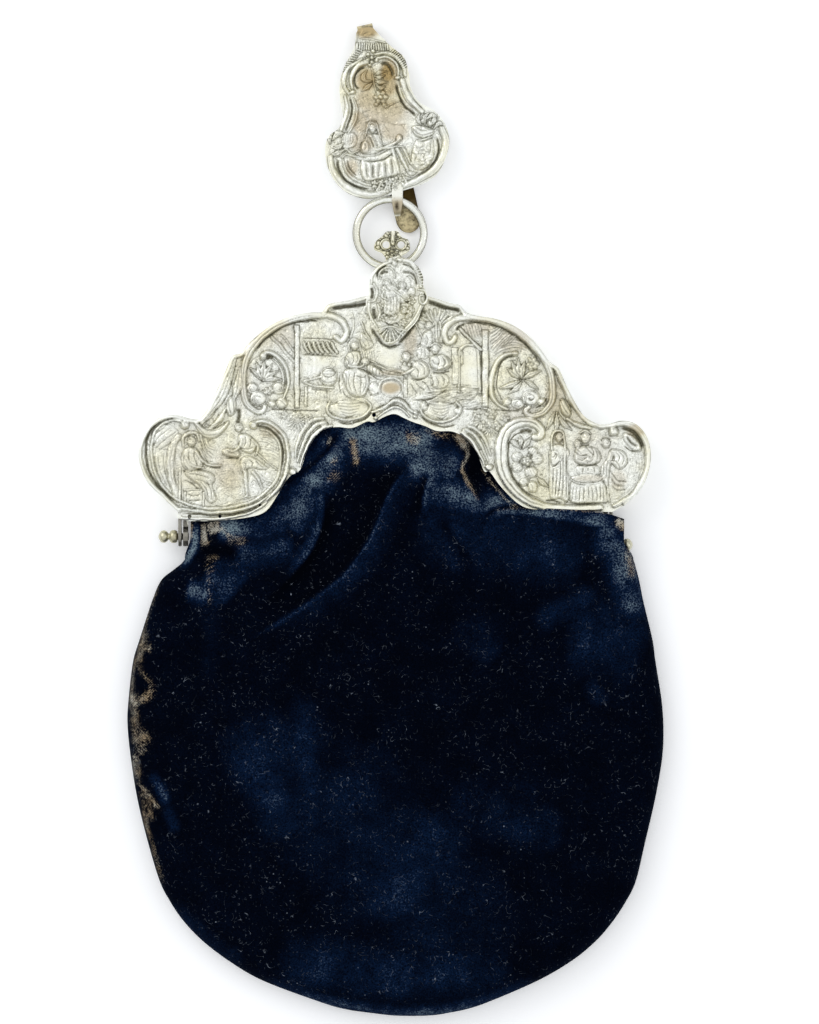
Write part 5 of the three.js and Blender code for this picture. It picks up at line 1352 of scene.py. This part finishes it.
    # Hanging sprig
    hook.ridge(0.9, 1.0, (372, 68, 373, 76, 374, 84, 376, 91), (0.7, 0.9))
    hook.leaf(3.2, 0.9, (371.5, 81, 365, 80, 363.5, 75, 367, 70), 1)
    hook.leaf(3.0, 1.0, (372, 83, 367, 87, 362, 91), 2)
    hook.leaf(2.2, 0.9, (374, 75, 380, 72, 387, 71), 1)
    hook.leaf(2.2, 0.9, (374, 76, 380, 77, 385, 75), 1)
    hook.leaf(2.8, 1.0, (375, 81, 381, 82, 388, 82), 1)
    hook.leaf(2.6, 1.0, (376, 85, 381, 87.5, 386, 86), 1)
    scallop = [math.radians(15 * k) for k in range(24)]
    hook.form(0.9, 0.9, [
        (380.5 + (7 + 1.2 * math.cos(6 * a)) * math.cos(a), 97 + (7 + 1.2 * math.cos(6 * a)) * math.sin(a))
        for a in scallop])
    hook.creases(0.5, -0.34, [
        [(380.5 + r * math.cos(a), 97 + r * math.sin(a)) for r in (3.2, 5.5)] for a in scallop[2::4]])
    hook.dome(380.5, 97, 2.9, 2.9, 1.7, chase=0.22)
    hook.dome(376.5, 104.5, 2.4, 2.2, 1.0)
    hook.dome(384.5, 104.5, 2.8, 2.2, 1.0)
    hook.ridge(0.9, 0.9, (385, 107.5, 391, 104, 400, 100.5), (0.9, 0.3))
    # Shell fluting and the paired scrolls
    for k in range(14):
        hook.ridge(0.95, 0.7, [(357.5 + 2.3 * k, 42.5 + 0.1 * k), (357 + 2.4 * k, 49.5)], chase=0.22)
    for k in range(11):
        hook.ridge(0.8, 0.7, [(362 - 1.75 * k, 51 + 1.9 * k), (358 - 1.75 * k, 49 + 2.2 * k)], chase=0.2)
    for k in range(10):
        hook.ridge(0.8, 0.8, [
            (391 + 1.3 * k, 52.5 + 1.7 * k), (395 + 1.35 * k, 48.5 + 1.8 * k)], chase=0.26)
    hook.ridge(1.2, 0.6, (360, 37.5, 371, 38.5, 385, 42), (0.6, 0.6))
    # Painted shade at the left of the neck, as a wide shallow crease
    hook.crease(2.2, -0.24, (358.5, 31, 358, 37, 356, 44))
    hook.ridge(2.2, 1.0, (362, 58.5, 351, 65, 345, 75, 344, 86, 349, 93.5), (0.5, 0.8))
    hook.ridge(2.8, 1.5, (367, 61.5, 358, 65, 353, 72, 351, 80, 352, 88), (1.1, 0.6))
    hook.crease(0.9, -0.6, (365, 66.5, 358, 70, 354.5, 77, 355, 85, 359, 89))
    hook.ridge(2.4, 1.1, (375, 54, 386, 52.5, 396, 57, 403, 66, 405, 75), (0.6, 0.7))
    hook.ridge(1.7, 1.5, (377, 58, 387, 57, 394, 61, 398, 67.5, 398, 74), (0.9, 0.9))
    hook.crease(1.6, -0.7, (380, 62.5, 387, 64, 391.5, 70, 392, 76))
    hook.dome(352.5, 92, 3.4, 2.4, 1.4, 20)
    hook.dome(397, 77.5, 3.6, 2.3, 1.5, 20)
    for x, y in ((373, 51), (368, 54.5), (372, 57.5), (368, 59.5), (372, 62), (370, 65), (376.5, 60)):
        hook.dome(x, y, 2.1, 2.0, 1.4, chase=0.2)
    hook.ridge(2.2, 1.3, (345, 96, 347, 106, 346, 116, 341, 130), (0.6, 0.7))
    hook.ridge(1.6, 1.1, (354, 98, 357, 109, 355, 121, 348, 133), (0.5, 0.6))
    hook.crease(1.0, -0.6, (350, 97, 352, 108, 350, 119, 345, 131))
    hook.ridge(4, 1.2, (402, 80, 405, 91, 412, 102, 422, 111), (0.7, 0.6), rounding=0.7)
    hook.creases(0.6, -0.36, [
        (400.5, 83, 404, 93, 411, 104, 419, 111), (405, 82, 408, 91, 415, 101, 423, 108)])
    hook.crease(1.0, -1.0, (396.5, 84, 398.5, 94, 405, 106, 416, 115))
    # Border mouldings and the bottom rosette
    hook.ridge(2.0, 1.1, (343, 160, 346, 170, 353, 178, 364, 183.5, 371, 185), (0.6, 0.6))
    hook.crease(0.7, -0.4, (347, 160, 350, 169, 357, 176))
    hook.ridge(4.4, 1.5, (331, 157, 333, 170, 341, 182, 354, 191, 370, 194.5, 385, 191), (0.6, 0.7))
    hook.crease(1.1, -0.7, (337.5, 159, 339, 170, 346, 180.5, 357, 187, 370, 189))
    hook.ridge(4.2, 1.5, (442, 128, 445.5, 141, 442, 157, 432, 170, 417, 179.5, 404, 185), (0.7, 0.7))
    hook.crease(1.0, -0.7, (436, 136, 439, 147, 436, 159, 427, 170, 415, 177.5))
    for x, y, size in (
            (375, 184, 4.4), (382, 183, 4.4), (389, 182, 4.6), (396, 181, 5), (403, 180, 4.6),
            (380, 189.5, 4), (387.5, 188.5, 4.2), (395, 187.5, 4)):
        hook.flower(x, y, size, 5, 1.4, 20 * x)
    for row in (
            (384, 112, 30, 20, 0.58), (366, 80, 13, 16, 0.8), (388, 72, 10, 14, 1.0),
            (388, 86, 12, 14, 0.75), (366, 31, 16, 8, 0.9), (366, 100, 12, 16, 0.6),
            (360, 122, 11, 16, 0.6), (352, 168, 8, 11, 0.5), (362, 142, 14, 14, 0.5),
            (394, 130, 18, 14, 0.55)):
        hook.blot(*row)
    hook.ink *= 0.75
    return hook.object("belt_hook_relief", top=7.6, low=6.4)


place_piece(hook_relief(), SILVER, "bag", "silver", "belt_hook")
# Tongue: over the top of the plate, down in a half turn and back along the floor, finer at its round tip
BEND = 3.3
tongue_path = [(12, 7.1), (8, 7.1)]
tongue_path += [(3.8 - BEND * math.sin(a), 3.8 + BEND * math.cos(a)) for a in np.linspace(0, math.pi, 16)]
tongue_path += [(8 + 3 * k, 0.5) for k in range(19)]
tongue_path += [(63 + 0.42 * k, 0.5) for k in range(1, 17)]


def tongue_half(share):
    """Half width of the tongue: wider towards its round tip."""
    tip = np.clip((share - 0.94) / 0.06, 0, 1)
    return (2.55 + 1.45 * smooth(0.2, 0.7, share)) * math.sqrt(max(1 - tip**2.4, 0.01))


def tongue_marks(along, aside):
    """Stain where the plate covers the tongue, and a dull line inside its rim."""
    dark = smooth(20, 30, along) * smooth(62.2, 59.4, along + 0.5 * aside)
    away = math.hypot(max(along - 65.9, 0), aside)
    rim = math.exp(-((away - 3.2) / 0.35) ** 2) * 0.4 * smooth(58, 62, along)
    return dark, max(rim, 0.6 * smooth(-1.6, -3.2, aside) * smooth(66, 62, along))


# The tongue leans a little across the plate
lean = Matrix.Translation((-10.24 * MM, 160.9 * MM, 0)) @ Matrix.Rotation(math.radians(192.7), 4, "Z")
place_piece(
    bent_strip("hook_tongue", tongue_path, tongue_half, 1.0, lean, tongue_marks), TONGUE, "bag", "silver")
# Tab: down from the plate and curled round the ring
CURL = 2.45
tab_path = [(109.6, 7.3), (108.2, 7.33), (107, 7.35), (105.8, 7.38), (104.6, 7.4)]
tab_path += [
    (103.36 + (CURL if math.sin(a) > 0 else 4.5) * math.sin(a), 4.98 + CURL * math.cos(a))
    for a in np.linspace(0.0, -math.pi * 1.7, 36)]


def tab_half(share):
    """Half width of the tab: narrow in its curl."""
    return 1.8 - 0.85 * math.exp(-((share - 0.52) / 0.14) ** 2)


def tab_marks(along, aside):
    """Painted shade across the curl, where it turns down round the ring, and a dark spot in its middle."""
    stain_and_shade = smooth(104.2, 102.8, along) * smooth(98.8, 99.6, along)
    dark = math.exp(-((along - 101.5) / 1.3) ** 2 - ((aside + 0.15) / 0.75) ** 2)
    return 0.7 * stain_and_shade, 0.9 * dark


nudge = Matrix.Translation((0.6 * MM, 0, 0))
place_piece(bent_strip("hook_tab", tab_path, tab_half, 0.8, nudge, tab_marks, 14), TAB, "bag", "silver")


# Velvet pouch

# Its sides from the slits down, in picture points
LEFT_EDGE = [
    (187, 534), (187, 550), (183.5, 561), (173, 570), (161, 580), (152, 600), (139, 640), (132.5, 662),
    (128, 700), (127, 725), (130.5, 760), (137, 800), (147, 841), (159, 881), (169, 901), (182.5, 921),
    (201.5, 941), (227.5, 961), (261.5, 981), (316, 1001.5), (345, 1010), (384, 1015.5)]
RIGHT_EDGE = [
    (625, 534), (630, 550), (634, 560), (639.5, 580), (643.5, 600), (653, 640), (656, 662), (662, 700),
    (664, 730), (662.5, 760), (655.5, 800), (646, 841), (636.5, 881), (627, 901), (614, 921), (597, 941),
    (573, 961), (539, 981), (492, 1001.5), (467, 1010), (439, 1015.5)]
# Slit below the hinges, side seam and ends of the mouth, in millimetres
SLIT_Y = -13.6
SEAM_Z = 4.6
MOUTH = (-66.6, 74.2)
# Heights of the velvet: under the frame, over it at the right, open front with its swell, and back
UNDER_FRAME = 8.8
OVER_FRAME = 11.9
OPEN_FRONT = 12.6
SWELL = 2.2
BACK = 1.6
# Picture points along X between which the velvet comes out over the frame
COMES_OUT = (528, 548)
# Width of the rounding along the seam
ROUNDING = 9.0
# Reach of the velvet past the edge of the frame: picture point along X and millimetres
TUCK = [(470, 4.0), (508, 4.0), (530, 0.7), (585, 0.3), (600, -0.3), (612, -0.9), (627, -2.6)]
# Middle of the longest fold, which the tables below share
LONG_FOLD = (402, 474, 393, 485, 384, 503, 376, 524, 363, 548, 347, 570, 328, 587, 284, 618)
# Folds of the front: half widths left and right of the crest and rise in millimetres, then the crest
FOLDS = [
    (9.0, 2.2, 3.2, (417, 462, *LONG_FOLD, 240, 640)),
    (2.2, 7.0, 2.2, (324, 480, 323, 498, 321, 520, 310, 550, 284, 581, 250, 606)),
    (2.0, 6.0, 2.2, (421, 520, 424, 500, 427, 484, 432, 470, 441, 463, 452, 462)),
    (1.4, 5.0, 2.4, (456, 436, 463, 446, 467, 463, 464, 473, 470, 486, 481, 504)),
    (3.0, 3.0, 1.2, (356, 440, 347, 447, 310, 470, 289, 482, 263, 511)),
    (4.0, 4.0, 1.2, (437, 500, 446, 524, 462, 550, 484, 578)),
    (6.0, 2.0, 1.6, (472, 530, 484, 518, 502, 512, 528, 511, 580, 515)),
    (5.0, 5.0, 1.0, (575, 590, 545, 612, 500, 650)),
    (4.0, 2.0, 1.6, (186, 556, 206, 552, 240, 550, 290, 548)),
    (5.0, 5.0, 0.8, (205, 590, 215, 640, 212, 700)),
    (2.5, 2.5, -1.2, (190, 566, 230, 562, 270, 566))]
# Painted sheen where the pile shows blue, and painted shade where it lies black in the folds and under the
# frame's edge, the amount there below zero: half widths, amount and line
SHEEN_AND_SHADE = [
    (24, 24, 0.36, (236, 716, 256, 764, 280, 806, 300, 840)),
    (14, 14, 0.34, (300, 690, 306, 750, 312, 812)),
    (15, 15, 0.62, (232, 560, 262, 552, 296, 545)),
    (9, 9, 0.78, (186, 590, 198, 592, 212, 598)),
    (20, 20, 0.55, (204, 572, 222, 582, 236, 596)),
    (14, 14, 0.12, (206, 600, 212, 640, 206, 690)),
    (4, 4, 0.65, (356, 441, 347, 447, 310, 470, 289, 482, 263, 511)),
    (17, 17, 0.82, (338, 440, 324, 464, 306, 492)),
    (22, 22, 0.95, (326, 438, 370, 438, 410, 440, 446, 446)),
    (17, 17, 1.0, (404, 468, 430, 462, 462, 472)),
    (14, 14, 0.95, (420, 492, 456, 494, 486, 504, 508, 514)),
    (34, 34, 0.34, (410, 520, 460, 530, 550, 548, 590, 556)),
    (3, 9, 0.65, (421, 520, 424, 500, 428, 484, 434, 470, 444, 463)),
    (2, 8, 0.6, (318, 484, 322, 500, 321, 520, 310, 550, 288, 578)),
    (18, 18, 0.72, (312, 482, 300, 506, 284, 530)),
    (3.4, 0.9, 0.72, (417, 462, *LONG_FOLD, 250, 638)),
    (20, 3, 0.3, (410, 468, 402, 474, 384, 503, 363, 548, 328, 587, 270, 624)),
    (5, 7, 0.2, (424, 512, 434, 536, 448, 556, 468, 580)),
    (14, 4, 0.78, (486, 517, 502, 511, 528, 512, 580, 520, 622, 528)),
    (16, 16, 0.74, (590, 528, 618, 548, 630, 586, 638, 626)),
    (14, 14, 0.65, (612, 532, 622, 548, 630, 566)),
    (34, 34, 0.34, (560, 636, 610, 640, 650, 650)),
    (13, 13, 0.3, (598, 590, 568, 608, 530, 624)),
    (24, 24, 0.16, (470, 610, 480, 640, 500, 660)),
    (50, 50, 0.2, (285, 700, 290, 770, 330, 850)),
    (34, 34, 0.34, (452, 812, 430, 850, 400, 886, 376, 930)),
    (75, 75, 0.2, (290, 740, 370, 840, 430, 900, 440, 980)),
    (30, 24, 0.32, (270, 962, 340, 972, 430, 980, 520, 966)),
    (9, 9, 0.5, (262, 980, 316, 1000, 400, 1013, 480, 1004, 540, 980)),
    (26, 20, 0.22, (470, 800, 520, 826, 570, 836)),
    (10, 10, 0.2, (586, 676, 596, 692, 604, 706)),
    (40, 40, 0.14, (440, 800, 490, 810, 550, 806)),
    (5, 5, 0.5, (150, 772, 160, 786, 168, 808)),
    (6, 6, 0.42, (164, 806, 172, 818, 176, 834)),
    (12, 12, 0.2, (168, 900, 200, 936, 250, 968)),
    (11, 11, 1.1, (216, 528, 236, 528, 256, 526)),
    (14, 14, 0.6, (246, 534, 270, 526, 290, 522)),
    (1, 20, -0.85, (410, 464, *LONG_FOLD, 256, 634)),
    (13, 1, -0.85, (326, 490, 325, 520, 314, 550, 288, 581, 262, 604)),
    (9, 1, -0.9, (420, 522, 422, 500, 425, 484, 429, 472)),
    (4, 4, -0.95, (346, 428, 336, 437, 327, 450, 316, 461, 303, 472, 286, 484, 270, 502)),
    (20, 1, -0.95, (458, 430, 468, 463, 471, 485, 484, 506)),
    (3, 3, -0.9, (482, 520, 492, 511, 505, 507, 560, 506)),
    (4, 9, -0.8, (440, 514, 452, 536, 474, 566)),
    (6, 6, -0.85, (200, 551, 216, 550, 244, 552)),
    (4, 4, 1.1, (196, 522, 195, 536, 194, 547, 188, 557, 181, 568))]
# Where the pile is worn away, or kept where the amount is below zero: half width, amount and line
WORN = [
    (3.5, 0.95, (351, 434, 354, 447, 356, 458, 355, 467)),
    (4, 0.5, (326, 440, 332, 442)),
    (5, 0.5, (331, 459, 337, 463)),
    (5, 0.42, (326, 476, 333, 477, 340, 470)),
    (6, 0.8, (404, 438, 412, 438, 420, 443)),
    (4, 1.0, (454, 431, 461, 440, 467, 450)),
    (2, 0.9, (464, 444, 468, 454, 463, 464, 463, 472, 469, 485, 480, 503)),
    (1.6, 0.6, (480, 468, 495, 487, 510, 503, 519, 507)),
    (3.5, 0.55, (424, 430, 438, 434, 452, 437)),
    (4.5, 1.1, (615, 521, 622, 524, 626, 530)),
    (5, 0.6, (626, 545, 630, 563, 632, 580)),
    (1.3, 0.4, (490, 512, 505, 509, 540, 508.5, 590, 511.5, 612, 515)),
    (4.5, 0.95, (204, 521, 205, 534, 204, 548)),
    (4, 0.95, (209, 522, 212, 528, 213, 536)),
    (3.5, 0.95, (216, 520, 217, 527, 215, 534)),
    (4, 0.9, (187, 521, 189, 531, 190, 540)),
    (1.1, -1.0, (199, 519, 199.5, 532, 200, 549)),
    (1.1, -1.0, (205, 519, 207, 530, 210, 541)),
    (3, 0.6, (218, 524, 226, 533, 234, 539)),
    (4.5, 0.5, (226, 538, 237, 540, 248, 543)),
    (2.6, 0.5, (205, 558, 213, 557.5, 221, 558)),
    (2.6, 0.5, (209, 556, 210, 565, 212, 574)),
    (2, 0.4, (208, 574, 209, 590, 211, 606)),
    (2.5, 0.4, (162, 579, 152, 600, 146, 622, 142, 638)),
    (4.5, 0.6, (143, 626, 143, 644, 139, 656, 134, 668)),
    (3.5, 0.7, (137, 644, 145, 648, 153, 649)),
    (3, 0.45, (134, 660, 132, 680, 130, 704)),
    (2.4, 0.55, (137, 667, 147, 678, 155, 690)),
    (4, 0.8, (156, 687, 147, 696, 138, 701, 129, 704)),
    (5, 0.85, (131, 692, 133, 701, 136, 709)),
    (5, 0.48, (134, 706, 135, 722, 137, 742)),
    (7, 0.6, (131, 737, 140, 738, 151, 733)),
    (5, 0.5, (135, 740, 142, 746, 140, 756)),
    (5, 0.55, (134, 752, 135, 765, 138, 782)),
    (2, 0.75, (135, 779, 146, 792, 155, 804, 161, 811)),
    (6, 0.42, (141, 788, 148, 804, 150, 824)),
    (2.5, 0.6, (142, 802, 145, 820, 148, 832, 153, 845)),
    (3, 0.4, (151, 838, 156, 860, 164, 886))]


def lower_height(x):
    """Y of the frame's lower edge, in millimetres."""
    line = plan(LOWER_EDGE)[::-1]
    return np.interp(x, line[:, 0], line[:, 1])


def across(x, y, line):
    """Distance from a line, below zero on its right, and the share of the way along."""
    gap, t, px, py = reach(x, y, line)
    way = np.diff(line, axis=0)[np.clip((t * (len(line) - 1)).astype(int), 0, len(line) - 2)]
    return np.where(way[..., 0] * (y - py) < way[..., 1] * (x - px), -gap, gap), t


def stroke(x, y, left, right, line):
    """One inside a soft stroke along a line, of its own width on each side, fading at both ends."""
    gap, t = across(x, y, line)
    half = np.where(gap > 0, left, right)
    return np.exp(-(gap / half) ** 2) * smooth(-0.05, 0.22, np.minimum(t, 1 - t))


def pouch_front_back(u, v, seam, low_share):
    """Plan and heights of the pouch for shares across and up."""
    edges = [flow(edge, 8)[::-1] for edge in (LEFT_EDGE, RIGHT_EDGE)]
    bottom = edges[0][0, 1]
    up = np.clip(v / low_share, 0, 1)
    share = 1 - np.cos(up * math.pi / 2)
    y = bottom + (SLIT_Y - bottom) * (0.3 * up + 0.7 * share)
    left, right = (np.interp(y, edge[:, 1], edge[:, 0]) for edge in edges)
    rise = np.clip((v - low_share) / (1 - low_share), 0, 1)
    pull = smooth(0, 0.45, rise)
    left, right = left + (MOUTH[0] - left) * pull, right + (MOUTH[1] - right) * pull
    x = left + (right - left) * (0.7 * u + 0.3 * (0.5 - 0.5 * np.cos(math.pi * u)))
    y = y - 0.45 * (1 - up) ** 14 * (1 - (2 * u - 1) ** 2)
    over = smooth(*((edge - MIDDLE[0]) * POINT for edge in COMES_OUT), x)
    tuck = np.interp(x / POINT + MIDDLE[0], *np.transpose(TUCK))
    y = y + (lower_height(x) + tuck - y) * rise
    if seam is None:
        return x, y
    away = np.minimum(reach(x, y, seam)[0] / ROUNDING, 1)
    swell = np.sqrt(1 - (1 - away) ** 2)
    below = reach(x, y, plan(LOWER_EDGE))[0] * np.where(y > lower_height(x), -1, 1)
    free = smooth(1.0, 13, below)
    folds = sum(height * stroke(x, y, left, right, flow(path, 5)) for left, right, height, path in FOLDS)
    full = OPEN_FRONT + SWELL * (1 - (x / 90) ** 2)
    under = UNDER_FRAME + (OVER_FRAME - UNDER_FRAME) * over
    front = under + (full - under) * free + folds * smooth(0.5, 4, below)
    back = BACK * (1 - np.maximum(free, over))
    return x, y, SEAM_Z + (front - SEAM_Z) * swell, SEAM_Z + (back - SEAM_Z) * swell


def pouch():
    """The velvet as one shell: front and back meet in the seam, open at the mouth and the slits."""
    columns, rows, low_share = 220, 200, 0.78
    u, v = np.meshgrid(np.arange(columns + 1) / columns, np.arange(rows + 1) / rows)
    x, y = pouch_front_back(u, v, None, low_share)
    low_rows = int(round(rows * low_share))
    sides = ((slice(low_rows, None, -1), 0), (0, slice(None)), (slice(low_rows + 1), -1))
    seam = np.vstack([np.column_stack((x[side], y[side])) for side in sides])[::3]
    x, y, front, back = pouch_front_back(u, v, seam, low_share)
    joined = (v <= low_share + 1e-9) & ((u == 0) | (u == 1)) | (v == 0)
    ripple = np.array([
        noise.noise((a * 0.05, b * 0.05, 3.0)) * 0.35 + noise.noise((a * 0.14, b * 0.14, 8.0)) * 0.12
        for a, b in zip(x.ravel(), y.ravel())]).reshape(x.shape)
    front = np.where(joined, SEAM_Z, front + ripple * smooth(0, 12, front - SEAM_Z) * 2)
    back = np.where(joined, SEAM_Z, back)
    # Painted sheen of the pile, darkened by painted shade in the folds and under the frame's edge
    sheen_and_shade = np.full(x.shape, 0.05)
    for left, right, amount, path in SHEEN_AND_SHADE:
        mark = stroke(x, y, left * POINT, right * POINT, flow(path, 4))
        sheen_and_shade = np.maximum(sheen_and_shade, amount * mark) if amount > 0 else sheen_and_shade * (1 + amount * mark)
    worn = np.zeros(x.shape)
    for half, amount, path in WORN:
        mark = stroke(x, y, half * POINT, half * POINT, flow(path, 4))
        worn = np.maximum(worn, amount * mark) if amount > 0 else worn * (1 + amount * mark)
    bm = bmesh.new()
    worn_key, sheen_and_shade_key = bm.verts.layers.float.new("worn"), bm.verts.layers.float.new("sheen_and_shade")
    for z, shade in ((front, 1.0), (back, 0.3)):
        start = len(bm.verts)
        bmesh.ops.create_grid(bm, x_segments=columns, y_segments=rows, size=1)
        bm.verts.ensure_lookup_table()
        for i in range(len(bm.verts) - start):
            at = (i // (columns + 1), i % (columns + 1))
            vert = bm.verts[start + i]
            vert.co = (x[at] * MM, y[at] * MM, z[at] * MM)
            vert[worn_key], vert[sheen_and_shade_key] = worn[at] * shade, sheen_and_shade[at] * shade
        if shade < 1:
            turned_round = {face for vert in bm.verts[start:] for face in vert.link_faces}
            bmesh.ops.reverse_faces(bm, faces=list(turned_round))
    bmesh.ops.remove_doubles(bm, verts=bm.verts, dist=1e-6)
    obj = finish_mesh(bm, "velvet_bag", True)
    rim = obj.modifiers.new("cut edge", "SOLIDIFY")
    rim.thickness, rim.offset, rim.use_rim_only = 1.2 * MM, -1, True
    return obj


place_piece(pouch(), VELVET, "bag", "velvet", "velvet_pouch")

# Plain solids that keep their shape
for node in ("back_frame", "clasp_pin"):
    frame["nodes"][node].data.materials.clear()
    frame["nodes"][node].data.materials.append(SILVER)
# Hinge lugs of the back half, darkened as painted shade
back = frame["nodes"]["back_frame"].data
back.materials.append(SHADED_LUG)
for face in back.polygons:
    face.material_index = int(face.center.y < 0.5 * MM and abs(face.center.x) > 66 * MM)


# Floor, light and camera

def stage():
    """White paper, soft daylight from one side and a long lens straight above."""
    bm = bmesh.new()
    bmesh.ops.create_grid(bm, x_segments=1, y_segments=1, size=3)
    floor = finish_mesh(bm, "floor")
    # Matt white paper, lit through a little as on a light table
    material, _, _ = new_material("white_paper", {
        "Base Color": srgb("#f7f8fa"), "Roughness": 0.9, "Emission Color": (1, 1, 1, 1),
        "Emission Strength": 0.2})
    floor.data.materials.append(material)
    world = bpy.data.worlds.new("studio")
    world.use_nodes = True
    tree = world.node_tree
    way = add(tree, "TexCoord", out="Generated")
    up = add(tree, "SeparateXYZ", {0: way}, 2)
    tree.nodes["Background"].inputs[0].default_value = (0.97, 0.985, 1.0, 1)
    strength = add(tree, "MapRange", {0: up, 1: 0.15, 2: 0.8, 3: 0.4, 4: 1.0})
    tree.links.new(strength, tree.nodes["Background"].inputs[1])
    bpy.context.scene.world = world
    for name, place, size, energy in (
            ("window", (-1.2, 1.0, 1.0), 1.5, 10), ("bounce", (1.3, -0.2, 0.9), 0.8, 1.5)):
        data = bpy.data.lights.new(name, "AREA")
        data.size, data.energy = size, energy
        lamp = bpy.data.objects.new(name, data)
        lamp.location = place
        lamp.rotation_euler = (-Vector(place)).to_track_quat("-Z", "Y").to_euler()
        bpy.context.scene.collection.objects.link(lamp)
    data = bpy.data.cameras.new("camera")
    # The picture's height fills the sensor at the level of the frame
    height, level = 3.0, 0.01
    data.sensor_width = 36
    data.lens = data.sensor_width * (height - level) / (PICTURE[1] * POINT * MM)
    data.clip_end = 20
    camera = bpy.data.objects.new("camera", data)
    camera.location = (*plan([PICTURE / 2])[0] * MM, height)
    bpy.context.scene.collection.objects.link(camera)
    bpy.context.scene.camera = camera
    bpy.context.scene.view_settings.view_transform = "Standard"


stage()
